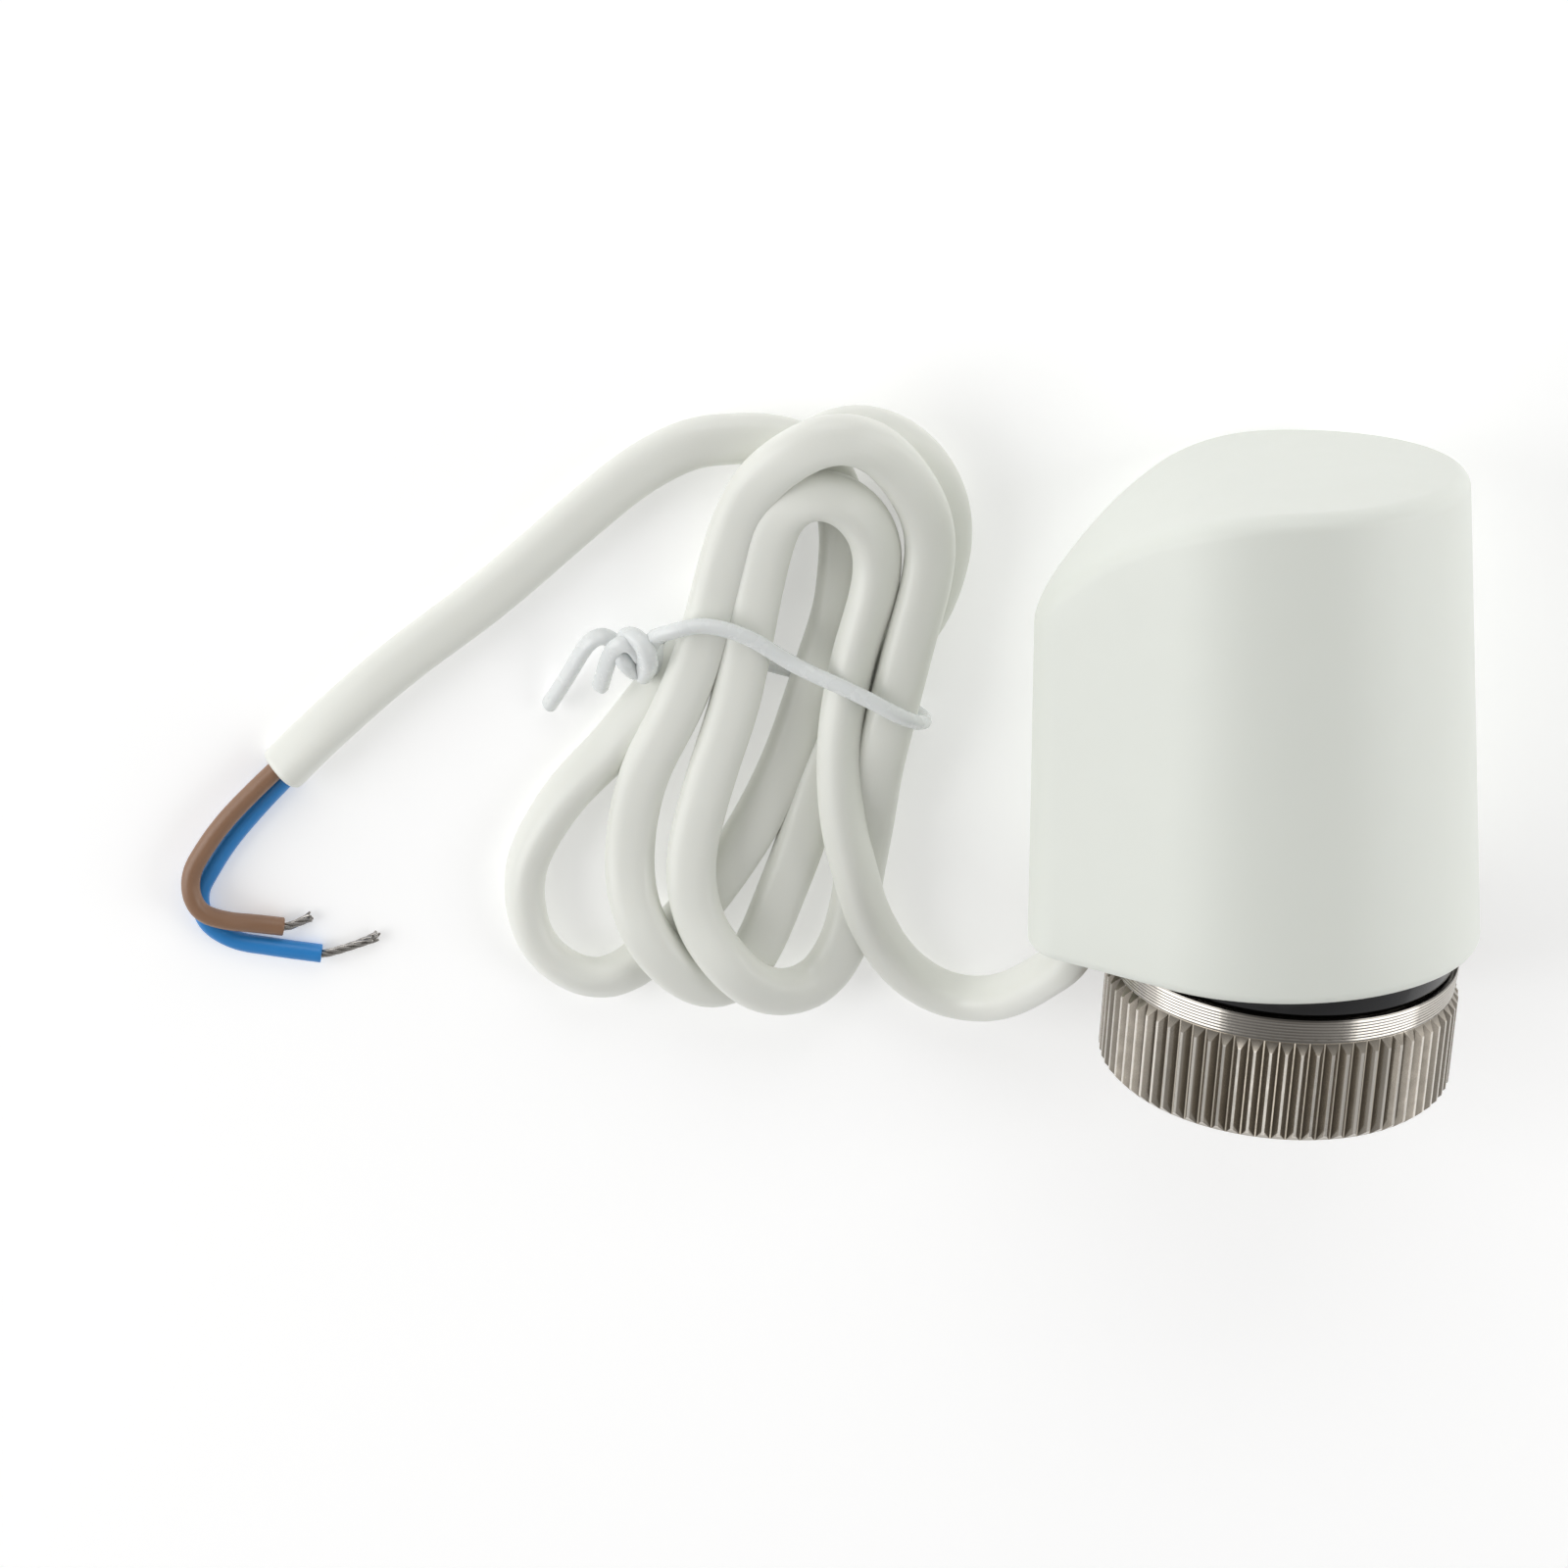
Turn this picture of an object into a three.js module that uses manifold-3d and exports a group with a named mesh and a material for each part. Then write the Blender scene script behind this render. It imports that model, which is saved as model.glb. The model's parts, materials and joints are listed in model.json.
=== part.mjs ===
// Thermoelectric actuator head for a manifold or radiator valve, lying on its round side.
// Millimetres, +Z up, the floor at z = 0, the origin on the floor under the middle of the head.
// The head's own frame has its axis along local Z, with the housing's lower rim at local z = 0,
// the union nut below it and the housing's tail, where the lead comes out, towards local -X.

import * as THREE from 'three';
import { mergeVertices } from 'three/addons/utils/BufferGeometryUtils.js';
import Module from 'manifold-3d';

const wasm = await Module();
wasm.setup();

// ---- Driving dimensions ----

const DEG = Math.PI / 180;
const GAP = 0.3; // between pieces that rest on each other

// Housing: a teardrop in plan, two circles joined by their tangents.
const HOUSING_R = 19.85; // main circle at the rim
const TAIL_R = 7.1; // tail circle at the rim
const TAIL_X = 19.0; // tail circle's distance from the axis
const HOUSING_H = 49.0; // rim to the highest part of the top
const DRAFT = 2.05 * DEG; // slope of the side wall
const TOP_EDGE_R = 1.7; // rounding between the side and the top
const RIM_R = 1.1; // rounding of the lower rim
const SKIRT_WALL = 1.4;
const TOP_WALL = 1.8;
const TOP_FLAT_X = 2.5; // the top is level to the right of this, and falls away to the left
const TOP_FALL = 0.0015;
const TOP_FALL_POWER = 2.74;

// Base plate and the collar that carries the nut.
const BASE_Z = 6.2; // underside of the plate
const BASE_TOP = 8.7;
const COLLAR_R = 12.3;
const COLLAR_BORE_R = 9.9;
const COLLAR_END_Z = -8.0;
const SNAP_GROOVE_R = 11.3;
const SNAP_GROOVE_Z = [-6.9, -5.3];
const BUSH_X = 20.3; // where the lead passes the plate, on the tail side
const BUSH_HOLE = [6.4, 7.6]; // along x and y
const BUSH_FLANGE = [6.8, 8.2];
const BUSH_FLANGE_T = 1.4;
const BUSH_END_Z = 5.6;
const SHEATH_END_Z = 13.1;

// Union nut, M30 x 1.5, in its own frame: z = 0 at the upper edge of its smooth band.
const NUT_R = 18.05;
const NUT_GROOVE_R = 17.25;
const NUT_TEETH = 72;
const NUT_MOUTH_Z = -13.5;
const NUT_KNURL_TOP_Z = -2.76;
const NUT_BAND_R = [17.6, 17.8];
const NUT_CHAMFER = 0.75;
const NUT_NECK_R = 16.2;
const NUT_NECK_TOP_Z = 4.2;
const NUT_NECK_BORE_R = 14.8;
const NUT_LIP_R = 13.2;
const NUT_LIP_Z = [-1.3, 1.0];
const NUT_RECESS_R = 15.6;
const THREAD_MINOR_R = 14.19;
const THREAD_MAJOR_R = 15.0;
const THREAD_PITCH = 1.5;
const THREAD_TOP_Z = -6.0;
const SLIP_RING_R = [16.5, 17.3];
const NUT_LEAN_RIGHT = 4.6 * DEG; // the loose nut's tilt, to the right
const NUT_LEAN_UP = 5.2 * DEG; // and with its mouth sagging to the floor
const NUT_MOUTH_CENTRE = [-0.87, 1.8, -14.35]; // in the head's frame

// Working parts on the axis.
const STEM_R = 4.5;
const STEM_END_Z = -7.3;
const CUP_R = 9.0;
const CUP_BORE_R = 7.9;
const CUP_Z = [9.2, 24.0];
const CUP_FLOOR = 2.0;
const CUP_FLANGE_R = 12.1;
const CUP_FLANGE_T = 1.8;
const SPRING_R = 10.9;
const SPRING_WIRE_R = 0.75;
const SPRING_TURNS = 4.5;
const CAPSULE_R = 7.6;
const CAPSULE_TOP_Z = 27.0;
const CAPSULE_NECK_R = 4.0;
const CAPSULE_NECK_TOP_Z = 30.0;
const PISTON_R = 2.0;
const PISTON_Z = [14.6, 32.5];
const PRESSURE_DISC_Z = [32.8, 33.9];
const GUIDE_Z = [-7.8, -5.2];
const WASHER_Z = [-5.0, -4.2];
const CONTACT_Y = 2.0;
const TERMINAL_Z = 30.2;
const TERMINAL_BLOCK_X = [-20.6, -15.3];
const TERMINAL_BLOCK_TOP = 32.6;
const CAGE_ROOF_Z = [33.0, 36.0];
const CAGE_R = 15.0;
const CAGE_LEG_R = 12.8;
const CAGE_LEG_W = 8;
const CAGE_FOOT_T = 2.0;
const CAGE_SCREW = [6.4, 13.6]; // x and y of each cage screw

// Lead: a flat two-core cord.
const LEAD = [5.2, 4.0]; // width and thickness
const CORE_D = 2.0;
const STRANDS_D = 0.9;
const HANK_TOP = 12.4;
const HANK_ENDS = [ // centre x, y and radius of each rounded end of the hank
  [-66.0, -16.5, 12.2],
  [-49.2, -18.4, 11.4],
  [-41.0, 22.8, 13.8],
];
const LEAD_TO_HANK = [ // from the bush, down to the floor and round to the hank
  [-17.2, -11.6, 19.65], [-17.3, -14.9, 19.7], [-17.9, -17.7, 19.0], [-19.1, -20.1, 16.9], [-20.7, -22.6, 13.6],
  [-22.7, -25.8, 9.3], [-25.2, -28.4, 5.7], [-28.2, -29.5, 3.4], [-31.6, -28.9, 2.5], [-34.3, -27.0, 2.4],
  [-36.3, -24.8, 2.4],
];
const LEAD_FROM_HANK = [ // from the hank to the end of the sheath
  [-54.3, 32.9, 2.4], [-57.0, 32.0, 2.4], [-61.3, 29.7, 2.4], [-65.6, 26.4, 2.4], [-70.1, 22.7, 2.4],
  [-74.5, 19.0, 2.4], [-79.0, 15.5, 2.4], [-83.3, 12.5, 2.4], [-88.0, 9.0, 2.4], [-93.0, 4.8, 2.4],
  [-96.5, 1.7, 2.4], [-99.7, -1.4, 2.4],
];
const BROWN_CORE = [
  [-100.2, -1.1, 2.9], [-102.6, -3.3, 2.9], [-105.8, -6.5, 2.9], [-108.1, -9.4, 2.9], [-109.8, -12.3, 2.9],
  [-110.0, -14.8, 3.0], [-109.1, -16.7, 3.0], [-106.7, -17.9, 2.6], [-103.9, -18.7, 1.7], [-100.8, -19.4, 1.2],
];
const BLUE_CORE = [
  [-100.0, -3.2, 1.3], [-102.3, -5.6, 1.0], [-105.7, -9.4, 1.0], [-108.0, -12.7, 1.0], [-109.4, -15.4, 1.0],
  [-108.9, -18.6, 1.0], [-106.3, -20.7, 1.0], [-102.3, -21.7, 1.0], [-97.0, -22.7, 1.0],
];
const BROWN_STRANDS = [[-100.5, -19.4, 1.2], [-99.1, -19.0, 1.0], [-97.7, -18.5, 0.8]];
const BLUE_STRANDS = [[-96.7, -22.7, 1.0], [-93.8, -22.0, 0.9], [-90.7, -20.8, 1.0]];
const TIE_CENTRE = [-48.6, 6.9];
const TIE_TURN = -18.4 * DEG;
const TIE_HALF = 17.6;
const TIE_SECTION = [1.0, 0.9];

// Where the head lies: its axis dips by the draft, so that its lowest side line rests on the floor.
const HEAD_PLACE_X = (TAIL_X + TAIL_R - HOUSING_R) / 2;
const HEAD_PLACE_Y = -16.74;

// ---- Geometry helpers ----

function signedVolume(geometry) {
  const p = geometry.attributes.position;
  const index = geometry.index;
  const corner = [new THREE.Vector3(), new THREE.Vector3(), new THREE.Vector3()];
  let volume = 0;
  for (let i = 0; i < index.count; i += 3) {
    corner.forEach((v, k) => v.fromBufferAttribute(p, index.getX(i + k)));
    volume += corner[0].dot(corner[1].clone().cross(corner[2])) / 6;
  }
  return volume;
}

// One closed body with merged vertices and its faces pointing out.
function closed(source) {
  const geometry = source.clone();
  geometry.deleteAttribute('normal');
  geometry.deleteAttribute('uv');
  const merged = mergeVertices(geometry, 1e-4);
  const index = merged.index.array;
  const kept = [];
  for (let i = 0; i < index.length; i += 3) {
    const [a, b, c] = [index[i], index[i + 1], index[i + 2]];
    if (a !== b && b !== c && c !== a) kept.push(a, b, c);
  }
  merged.setIndex(kept);
  if (signedVolume(merged) < 0) {
    for (let i = 0; i < kept.length; i += 3) [kept[i + 1], kept[i + 2]] = [kept[i + 2], kept[i + 1]];
    merged.setIndex(kept);
  }
  return merged;
}

function toManifold(source) {
  const geometry = closed(source);
  return new wasm.Manifold(new wasm.Mesh({
    numProp: 3,
    vertProperties: new Float32Array(geometry.attributes.position.array),
    triVerts: new Uint32Array(geometry.index.array),
  }));
}

function fromManifold(manifold) {
  const mesh = manifold.getMesh();
  const geometry = new THREE.BufferGeometry();
  geometry.setAttribute('position', new THREE.BufferAttribute(new Float32Array(mesh.vertProperties), 3));
  geometry.setIndex([...mesh.triVerts]);
  return geometry;
}

function join(first, ...others) {
  return fromManifold(others.reduce((sum, other) => sum.add(toManifold(other)), toManifold(first)));
}

function cut(first, ...others) {
  return fromManifold(others.reduce((rest, other) => rest.subtract(toManifold(other)), toManifold(first)));
}

// A body turned about Z from a closed outline of [radius, z] corners.
function turned(outline, sides = 32) {
  const points = [...outline, outline[0]].map(([r, z]) => new THREE.Vector2(r, z));
  return new THREE.LatheGeometry(points, sides).rotateX(Math.PI / 2);
}

function ringBody(innerR, outerR, z0, z1, sides = 32) {
  return turned([[innerR, z0], [outerR, z0], [outerR, z1], [innerR, z1]], sides);
}

function disc(radius, z0, z1, sides = 32) {
  return new THREE.CylinderGeometry(radius, radius, z1 - z0, sides)
    .rotateX(Math.PI / 2).translate(0, 0, (z0 + z1) / 2);
}

function block(x0, x1, y0, y1, z0, z1) {
  return new THREE.BoxGeometry(x1 - x0, y1 - y0, z1 - z0)
    .translate((x0 + x1) / 2, (y0 + y1) / 2, (z0 + z1) / 2);
}

// An upright prism with an oval section.
function ovalPrism(width, depth, z0, z1, sides = 24) {
  return disc(0.5, z0, z1, sides).scale(width, depth, 1);
}

// A skin over rings with equal numbers of points; a ring of one point is a pole.
function loft(rings) {
  const count = Math.max(...rings.map((ring) => ring.length));
  const positions = [];
  const starts = rings.map((ring) => {
    const start = positions.length / 3;
    ring.forEach((point) => positions.push(...point));
    return start;
  });
  const index = [];
  for (let r = 0; r + 1 < rings.length; r += 1) {
    const at = (ring, i) => starts[ring] + (rings[ring].length === 1 ? 0 : i % count);
    for (let i = 0; i < count; i += 1) {
      if (rings[r].length > 1) index.push(at(r, i), at(r, i + 1), at(r + 1, i));
      if (rings[r + 1].length > 1) index.push(at(r, i + 1), at(r + 1, i + 1), at(r + 1, i));
    }
  }
  const geometry = new THREE.BufferGeometry();
  geometry.setAttribute('position', new THREE.Float32BufferAttribute(positions, 3));
  geometry.setIndex(index);
  return geometry;
}

// A cord along hand-placed points, with an oval section.
function cord(points, width, thickness, steps, sides = 12) {
  const section = new THREE.Shape();
  for (let i = 0; i < sides; i += 1) {
    const angle = (2 * Math.PI * (i + 0.5)) / sides;
    const x = (thickness / 2) * Math.cos(angle);
    const y = (width / 2) * Math.sin(angle);
    if (i === 0) section.moveTo(x, y);
    else section.lineTo(x, y);
  }
  section.closePath();
  const path = new THREE.CatmullRomCurve3(points.map((p) => new THREE.Vector3(...p)), false, 'centripetal');
  return new THREE.ExtrudeGeometry(section, { steps, extrudePath: path });
}

// ---- Teardrop outline ----

const FLANK = Math.acos((HOUSING_R - TAIL_R) / TAIL_X); // the flanks' tangent angle from -X
const MAIN_STEPS = 32;
const TAIL_STEPS = 9;
const FLANK_STEPS = 3;

// Points of the rim's outline with their outward normals, once round.
function teardrop() {
  const outline = [];
  const onArc = (centreX, radius, angle) => {
    const normal = [Math.cos(angle), Math.sin(angle)];
    return { point: [centreX + radius * normal[0], radius * normal[1]], normal };
  };
  const mainEnd = Math.PI - FLANK;
  for (let i = 0; i <= MAIN_STEPS; i += 1) {
    outline.push(onArc(0, HOUSING_R, -mainEnd + (2 * mainEnd * i) / MAIN_STEPS));
  }
  const tailArc = [];
  for (let i = 0; i <= TAIL_STEPS; i += 1) {
    tailArc.push(onArc(-TAIL_X, TAIL_R, mainEnd + (2 * FLANK * i) / TAIL_STEPS));
  }
  const between = (from, to) => {
    for (let i = 1; i < FLANK_STEPS; i += 1) {
      const t = i / FLANK_STEPS;
      const point = from.point.map((value, k) => value + (to.point[k] - value) * t);
      outline.push({ point, normal: from.normal });
    }
  };
  between(outline[MAIN_STEPS], tailArc[0]);
  outline.push(...tailArc);
  between(tailArc[TAIL_STEPS], outline[0]);
  return outline;
}

const OUTLINE = teardrop();

// A ring of the teardrop, moved in by inset(z) and lifted to height(x).
function teardropRing(inset, height) {
  return OUTLINE.map(({ point, normal }) => {
    const move = typeof inset === 'function' ? inset(height(point[0])) : inset;
    const x = point[0] - normal[0] * move;
    const y = point[1] - normal[1] * move;
    return [x, y, height(x)];
  });
}

function teardropPlate(inset, z0, z1) {
  const rings = [[[0, 0, z0]], teardropRing(inset, () => z0), teardropRing(inset, () => z1), [[0, 0, z1]]];
  return loft(rings);
}

// ---- Housing ----

function topHeight(x) {
  return HOUSING_H - TOP_FALL * Math.max(0, TOP_FLAT_X - x) ** TOP_FALL_POWER;
}

function shrunk(ring, scale, height) {
  return ring.map(([x, y]) => [x * scale, y * scale, height(x * scale)]);
}

function housingCover() {
  const drafted = (extra) => (z) => z * Math.tan(DRAFT) + extra;
  const innerTop = (x) => topHeight(x) - TOP_WALL;
  const innerEdge = TOP_EDGE_R - SKIRT_WALL;
  const rings = [[[0, 0, innerTop(0)]]];
  const innerLast = teardropRing(drafted(SKIRT_WALL + innerEdge), innerTop);
  [0.35, 0.7].forEach((scale) => rings.push(shrunk(innerLast, scale, innerTop)));
  for (let i = 3; i >= 0; i -= 1) {
    const angle = (i / 3) * (Math.PI / 2);
    const inset = drafted(SKIRT_WALL + innerEdge * (1 - Math.cos(angle)));
    rings.push(teardropRing(inset, (x) => innerTop(x) - innerEdge * (1 - Math.sin(angle))));
  }
  rings.push(teardropRing(SKIRT_WALL, () => 0));
  for (let i = 0; i <= 3; i += 1) {
    const angle = (i / 3) * (Math.PI / 2);
    const height = RIM_R * (1 - Math.cos(angle));
    rings.push(teardropRing(drafted(RIM_R * (1 - Math.sin(angle))), () => height));
  }
  for (let i = 0; i <= 5; i += 1) {
    const angle = (i / 5) * (Math.PI / 2);
    const inset = drafted(TOP_EDGE_R * (1 - Math.cos(angle)));
    rings.push(teardropRing(inset, (x) => topHeight(x) - TOP_EDGE_R * (1 - Math.sin(angle))));
  }
  const outerLast = rings[rings.length - 1];
  [0.8, 0.6, 0.4, 0.2].forEach((scale) => rings.push(shrunk(outerLast, scale, topHeight)));
  rings.push([[0, 0, topHeight(0)]]);
  return loft(rings);
}

// ---- Base, collar and nut ----

function basePlate() {
  const plate = teardropPlate(SKIRT_WALL + GAP + BASE_TOP * Math.tan(DRAFT), BASE_Z, BASE_TOP);
  const collar = turned([
    [COLLAR_BORE_R, COLLAR_END_Z], [COLLAR_R - 0.6, COLLAR_END_Z], [COLLAR_R, COLLAR_END_Z + 0.6],
    [COLLAR_R, SNAP_GROOVE_Z[0]], [SNAP_GROOVE_R, SNAP_GROOVE_Z[0]],
    [SNAP_GROOVE_R, SNAP_GROOVE_Z[1]], [COLLAR_R, SNAP_GROOVE_Z[1]],
    [COLLAR_R, BASE_Z + 1], [COLLAR_BORE_R, BASE_Z + 1],
  ]);
  const bushHole = ovalPrism(...BUSH_HOLE, BASE_Z - 1, BASE_TOP + 1).translate(-BUSH_X, 0, 0);
  const screwHoles = cageScrewPlaces().map(([x, y]) => disc(1.3, BASE_Z - 1, BASE_TOP + 1, 16).translate(x, y, 0));
  return cut(join(plate, collar), disc(COLLAR_BORE_R, BASE_Z - 1, BASE_TOP + 1), bushHole, ...screwHoles);
}

function snapRing() {
  const ring = ringBody(SNAP_GROOVE_R + GAP, 14.0, SNAP_GROOVE_Z[0] + GAP, SNAP_GROOVE_Z[1] - GAP);
  return cut(ring, block(8, 16, -2.2, 2.2, -8, -4));
}

function knurledBlank() {
  const places = NUT_TEETH * 2;
  const ring = (toothR, grooveR, z) => Array.from({ length: places }, (_, i) => {
    const angle = (2 * Math.PI * i) / places;
    const r = i % 2 ? grooveR : toothR;
    return [r * Math.cos(angle), r * Math.sin(angle), z];
  });
  const root = NUT_GROOVE_R;
  return loft([
    [[0, 0, NUT_MOUTH_Z]],
    ring(root, root, NUT_MOUTH_Z),
    ring(NUT_R, root, NUT_MOUTH_Z + NUT_CHAMFER),
    ring(NUT_R, root, NUT_KNURL_TOP_Z - NUT_CHAMFER),
    ring(root, root, NUT_KNURL_TOP_Z),
    ring(NUT_BAND_R[0], NUT_BAND_R[0], NUT_KNURL_TOP_Z + 0.15),
    ring(NUT_BAND_R[1], NUT_BAND_R[1], 0),
    [[0, 0, 0]],
  ]);
}

function unionNut() {
  const neck = disc(NUT_NECK_R, -0.5, NUT_NECK_TOP_Z, 48);
  const thread = [];
  for (let z = NUT_MOUTH_Z + 1.1; z <= THREAD_TOP_Z - THREAD_PITCH; z += THREAD_PITCH) {
    thread.push([THREAD_MINOR_R, z], [THREAD_MAJOR_R, z + THREAD_PITCH / 2]);
  }
  const bore = turned([
    [0, NUT_MOUTH_Z - 1], [THREAD_MAJOR_R + 1.3, NUT_MOUTH_Z - 1], ...thread,
    [THREAD_MINOR_R, THREAD_TOP_Z], [NUT_RECESS_R, THREAD_TOP_Z],
    [NUT_RECESS_R, NUT_LIP_Z[0]], [NUT_LIP_R, NUT_LIP_Z[0]],
    [NUT_LIP_R, NUT_LIP_Z[1]], [NUT_NECK_BORE_R, NUT_LIP_Z[1]],
    [NUT_NECK_BORE_R, NUT_NECK_TOP_Z + 1], [0, NUT_NECK_TOP_Z + 1],
  ], 40);
  return cut(join(knurledBlank(), neck), bore);
}

// ---- Working parts on the axis ----

function plungerCup() {
  return turned([
    [0, STEM_END_Z + 2.6], [1.6, STEM_END_Z + 2.6], [1.6, STEM_END_Z + GAP], [STEM_R, STEM_END_Z + GAP],
    [STEM_R, CUP_Z[0]], [CUP_R, CUP_Z[0]],
    [CUP_R, CUP_Z[1] - CUP_FLANGE_T], [CUP_FLANGE_R, CUP_Z[1] - CUP_FLANGE_T],
    [CUP_FLANGE_R, CUP_Z[1]], [CUP_BORE_R, CUP_Z[1]],
    [CUP_BORE_R, CUP_Z[0] + CUP_FLOOR], [0, CUP_Z[0] + CUP_FLOOR],
  ]);
}

function plungerTip() {
  const face = STEM_END_Z - 1.2;
  return turned([
    [0, face], [3.6, face], [4.1, face + 0.5], [4.1, STEM_END_Z],
    [1.3, STEM_END_Z], [1.3, STEM_END_Z + 2.3], [0, STEM_END_Z + 2.3],
  ], 32);
}

function returnSpring() {
  const [low, high] = [BASE_TOP + GAP + SPRING_WIRE_R, CUP_Z[1] - CUP_FLANGE_T - GAP - SPRING_WIRE_R];
  const points = [];
  for (let i = 0; i <= 60; i += 1) {
    const angle = (2 * Math.PI * SPRING_TURNS * i) / 60;
    points.push([SPRING_R * Math.cos(angle), SPRING_R * Math.sin(angle), low + ((high - low) * i) / 60]);
  }
  return cord(points, 2 * SPRING_WIRE_R, 2 * SPRING_WIRE_R, 54, 6);
}

function waxCapsule() {
  const low = CUP_Z[0] + CUP_FLOOR + GAP;
  const bore = PISTON_R + GAP;
  return turned([
    [0, low], [CAPSULE_R - 0.8, low], [CAPSULE_R, low + 0.8],
    [CAPSULE_R, CAPSULE_TOP_Z - 0.8], [CAPSULE_R - 0.8, CAPSULE_TOP_Z],
    [CAPSULE_NECK_R, CAPSULE_TOP_Z], [CAPSULE_NECK_R, CAPSULE_NECK_TOP_Z],
    [bore, CAPSULE_NECK_TOP_Z], [bore, low + 2.5], [0, low + 2.5],
  ], 28);
}

function cageScrewPlaces() {
  return [[CAGE_SCREW[0], CAGE_SCREW[1]], [-CAGE_SCREW[0], -CAGE_SCREW[1]]];
}

function capsuleCage() {
  const low = BASE_TOP + GAP;
  const half = CAGE_LEG_W / 2;
  const roof = disc(CAGE_R, ...CAGE_ROOF_Z);
  const legs = [1, -1].map((side) => {
    const [y0, y1] = [CAGE_LEG_R * side, CAGE_R * side].sort((a, b) => a - b);
    return block(-half, half, y0, y1, low, CAGE_ROOF_Z[0] + 1);
  });
  const feet = [1, -1].map((side) => {
    const [y0, y1] = [CAGE_LEG_R * side, CAGE_R * side].sort((a, b) => a - b);
    return block(-half - 4.6, half + 4.6, y0, y1, low, low + CAGE_FOOT_T);
  });
  const holes = cageScrewPlaces().map(([x, y]) => disc(1.3, low - 1, low + CAGE_FOOT_T + 1, 16).translate(x, y, 0));
  const windows = [9.5, -9.5].map((x) => block(x - 2.6, x + 2.6, -3.5, 3.5, 32, 37));
  const recess = disc(4.3, CAGE_ROOF_Z[0] - 1, CAGE_ROOF_Z[0] + 1.3, 32);
  return cut(join(roof, ...legs, ...feet), ...holes, ...windows, recess);
}

function cageScrew([x, y]) {
  const seat = BASE_TOP + GAP + CAGE_FOOT_T + GAP;
  const head = disc(1.9, seat, seat + 1.3, 20);
  const shank = disc(1.0, BASE_Z + GAP, seat + 0.5, 20);
  const slot = block(-2.2, 2.2, -0.25, 0.25, seat + 0.7, seat + 2);
  return cut(join(head, shank), slot).translate(x, y, 0);
}

function plungerSeal() {
  const [r, z] = [STEM_R + 1.3, GUIDE_Z[1] + GAP + 1.0];
  const around = Array.from({ length: 6 }, (_, i) => {
    const angle = (2 * Math.PI * i) / 6;
    return [r + 1.0 * Math.cos(angle), z + 1.0 * Math.sin(angle)];
  });
  return turned(around, 24);
}

// ---- Electrical parts in the tail ----

const HEATER_Z = [CAPSULE_TOP_Z + GAP, CAPSULE_TOP_Z + 2.0];

// A strip bent through [x, z] corners at one y, as thick as it is given.
function bentStrip(corners, y, width, thickness) {
  const upper = [];
  const lower = [];
  corners.forEach(([x, z], i) => {
    const before = corners[Math.max(0, i - 1)];
    const after = corners[Math.min(corners.length - 1, i + 1)];
    const along = new THREE.Vector2(after[0] - before[0], after[1] - before[1]).normalize();
    upper.push([x - (along.y * thickness) / 2, z + (along.x * thickness) / 2]);
    lower.unshift([x + (along.y * thickness) / 2, z - (along.x * thickness) / 2]);
  });
  const shape = new THREE.Shape([...upper, ...lower].map(([x, z]) => new THREE.Vector2(x, z)));
  return new THREE.ExtrudeGeometry(shape, { depth: width, bevelEnabled: false })
    .rotateX(Math.PI / 2).translate(0, y + width / 2, 0);
}

function contactSpring(y) {
  const rest = HEATER_Z[1] + GAP + 0.2;
  const corners = [[-14.4, TERMINAL_Z], [-11.8, TERMINAL_Z + 0.5], [-9, TERMINAL_Z], [-6.4, rest], [-5.0, rest + 0.3]];
  return bentStrip(corners, y, 1.6, 0.4);
}

// The block that holds both terminals, on a post that stands on the base plate.
function terminalBlock() {
  const [left, right] = TERMINAL_BLOCK_X;
  const post = block(-16.5, right, -3.9, 3.9, BASE_TOP + GAP, 25);
  const body = block(left, right, -3.9, 3.9, 22.0, TERMINAL_BLOCK_TOP);
  const slots = [CONTACT_Y, -CONTACT_Y].map((y) => block(left + 0.5, -16.4, y - 1.15, y + 1.15, 20, 31.0));
  const windows = [CONTACT_Y, -CONTACT_Y].map((y) => block(-17, right + 1, y - 1.15, y + 1.15, 28.6, 31.0));
  return cut(join(post, body), ...slots, ...windows);
}

function terminal(y) {
  return bentStrip([[-19.0, 22.6], [-19.0, TERMINAL_Z], [-14.8, TERMINAL_Z]], y, 1.6, 0.5);
}

function innerCore(y) {
  const low = SHEATH_END_Z + GAP;
  const points = [
    [-BUSH_X, y * 0.56, low], [-BUSH_X + 0.1, y * 0.65, low + 3],
    [-19.3, y * 0.9, low + 6], [-19.0, y, 22.2],
  ];
  return cord(points, CORE_D, CORE_D, 8, 8);
}

function cableBush() {
  const outside = ovalPrism(BUSH_HOLE[0] - 2 * GAP, BUSH_HOLE[1] - 2 * GAP, BUSH_END_Z, BASE_TOP + 0.5);
  const flange = ovalPrism(...BUSH_FLANGE, BASE_TOP + GAP, BASE_TOP + GAP + BUSH_FLANGE_T);
  const bore = ovalPrism(LEAD[1] + 0.5, LEAD[0] + 0.5, 0, 14);
  return cut(join(outside, flange), bore).translate(-BUSH_X, 0, 0);
}

// The end of the sheath inside the housing, above the bush's mouth.
function sheathEnd() {
  return ovalPrism(LEAD[1], LEAD[0], BUSH_END_Z, SHEATH_END_Z).translate(-BUSH_X, 0, 0);
}

// A barbed wedge across the sheath that keeps a pull on the lead off the cores.
function bushWedge() {
  const low = BASE_TOP + 2 * GAP + BUSH_FLANGE_T;
  const plate = ovalPrism(...BUSH_FLANGE, low, low + 1.6);
  return cut(plate, ovalPrism(LEAD[1] + 0.5, LEAD[0] + 0.5, 0, 14)).translate(-BUSH_X, 0, 0);
}

// ---- Lead outside the housing, in the floor's frame ----

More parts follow.
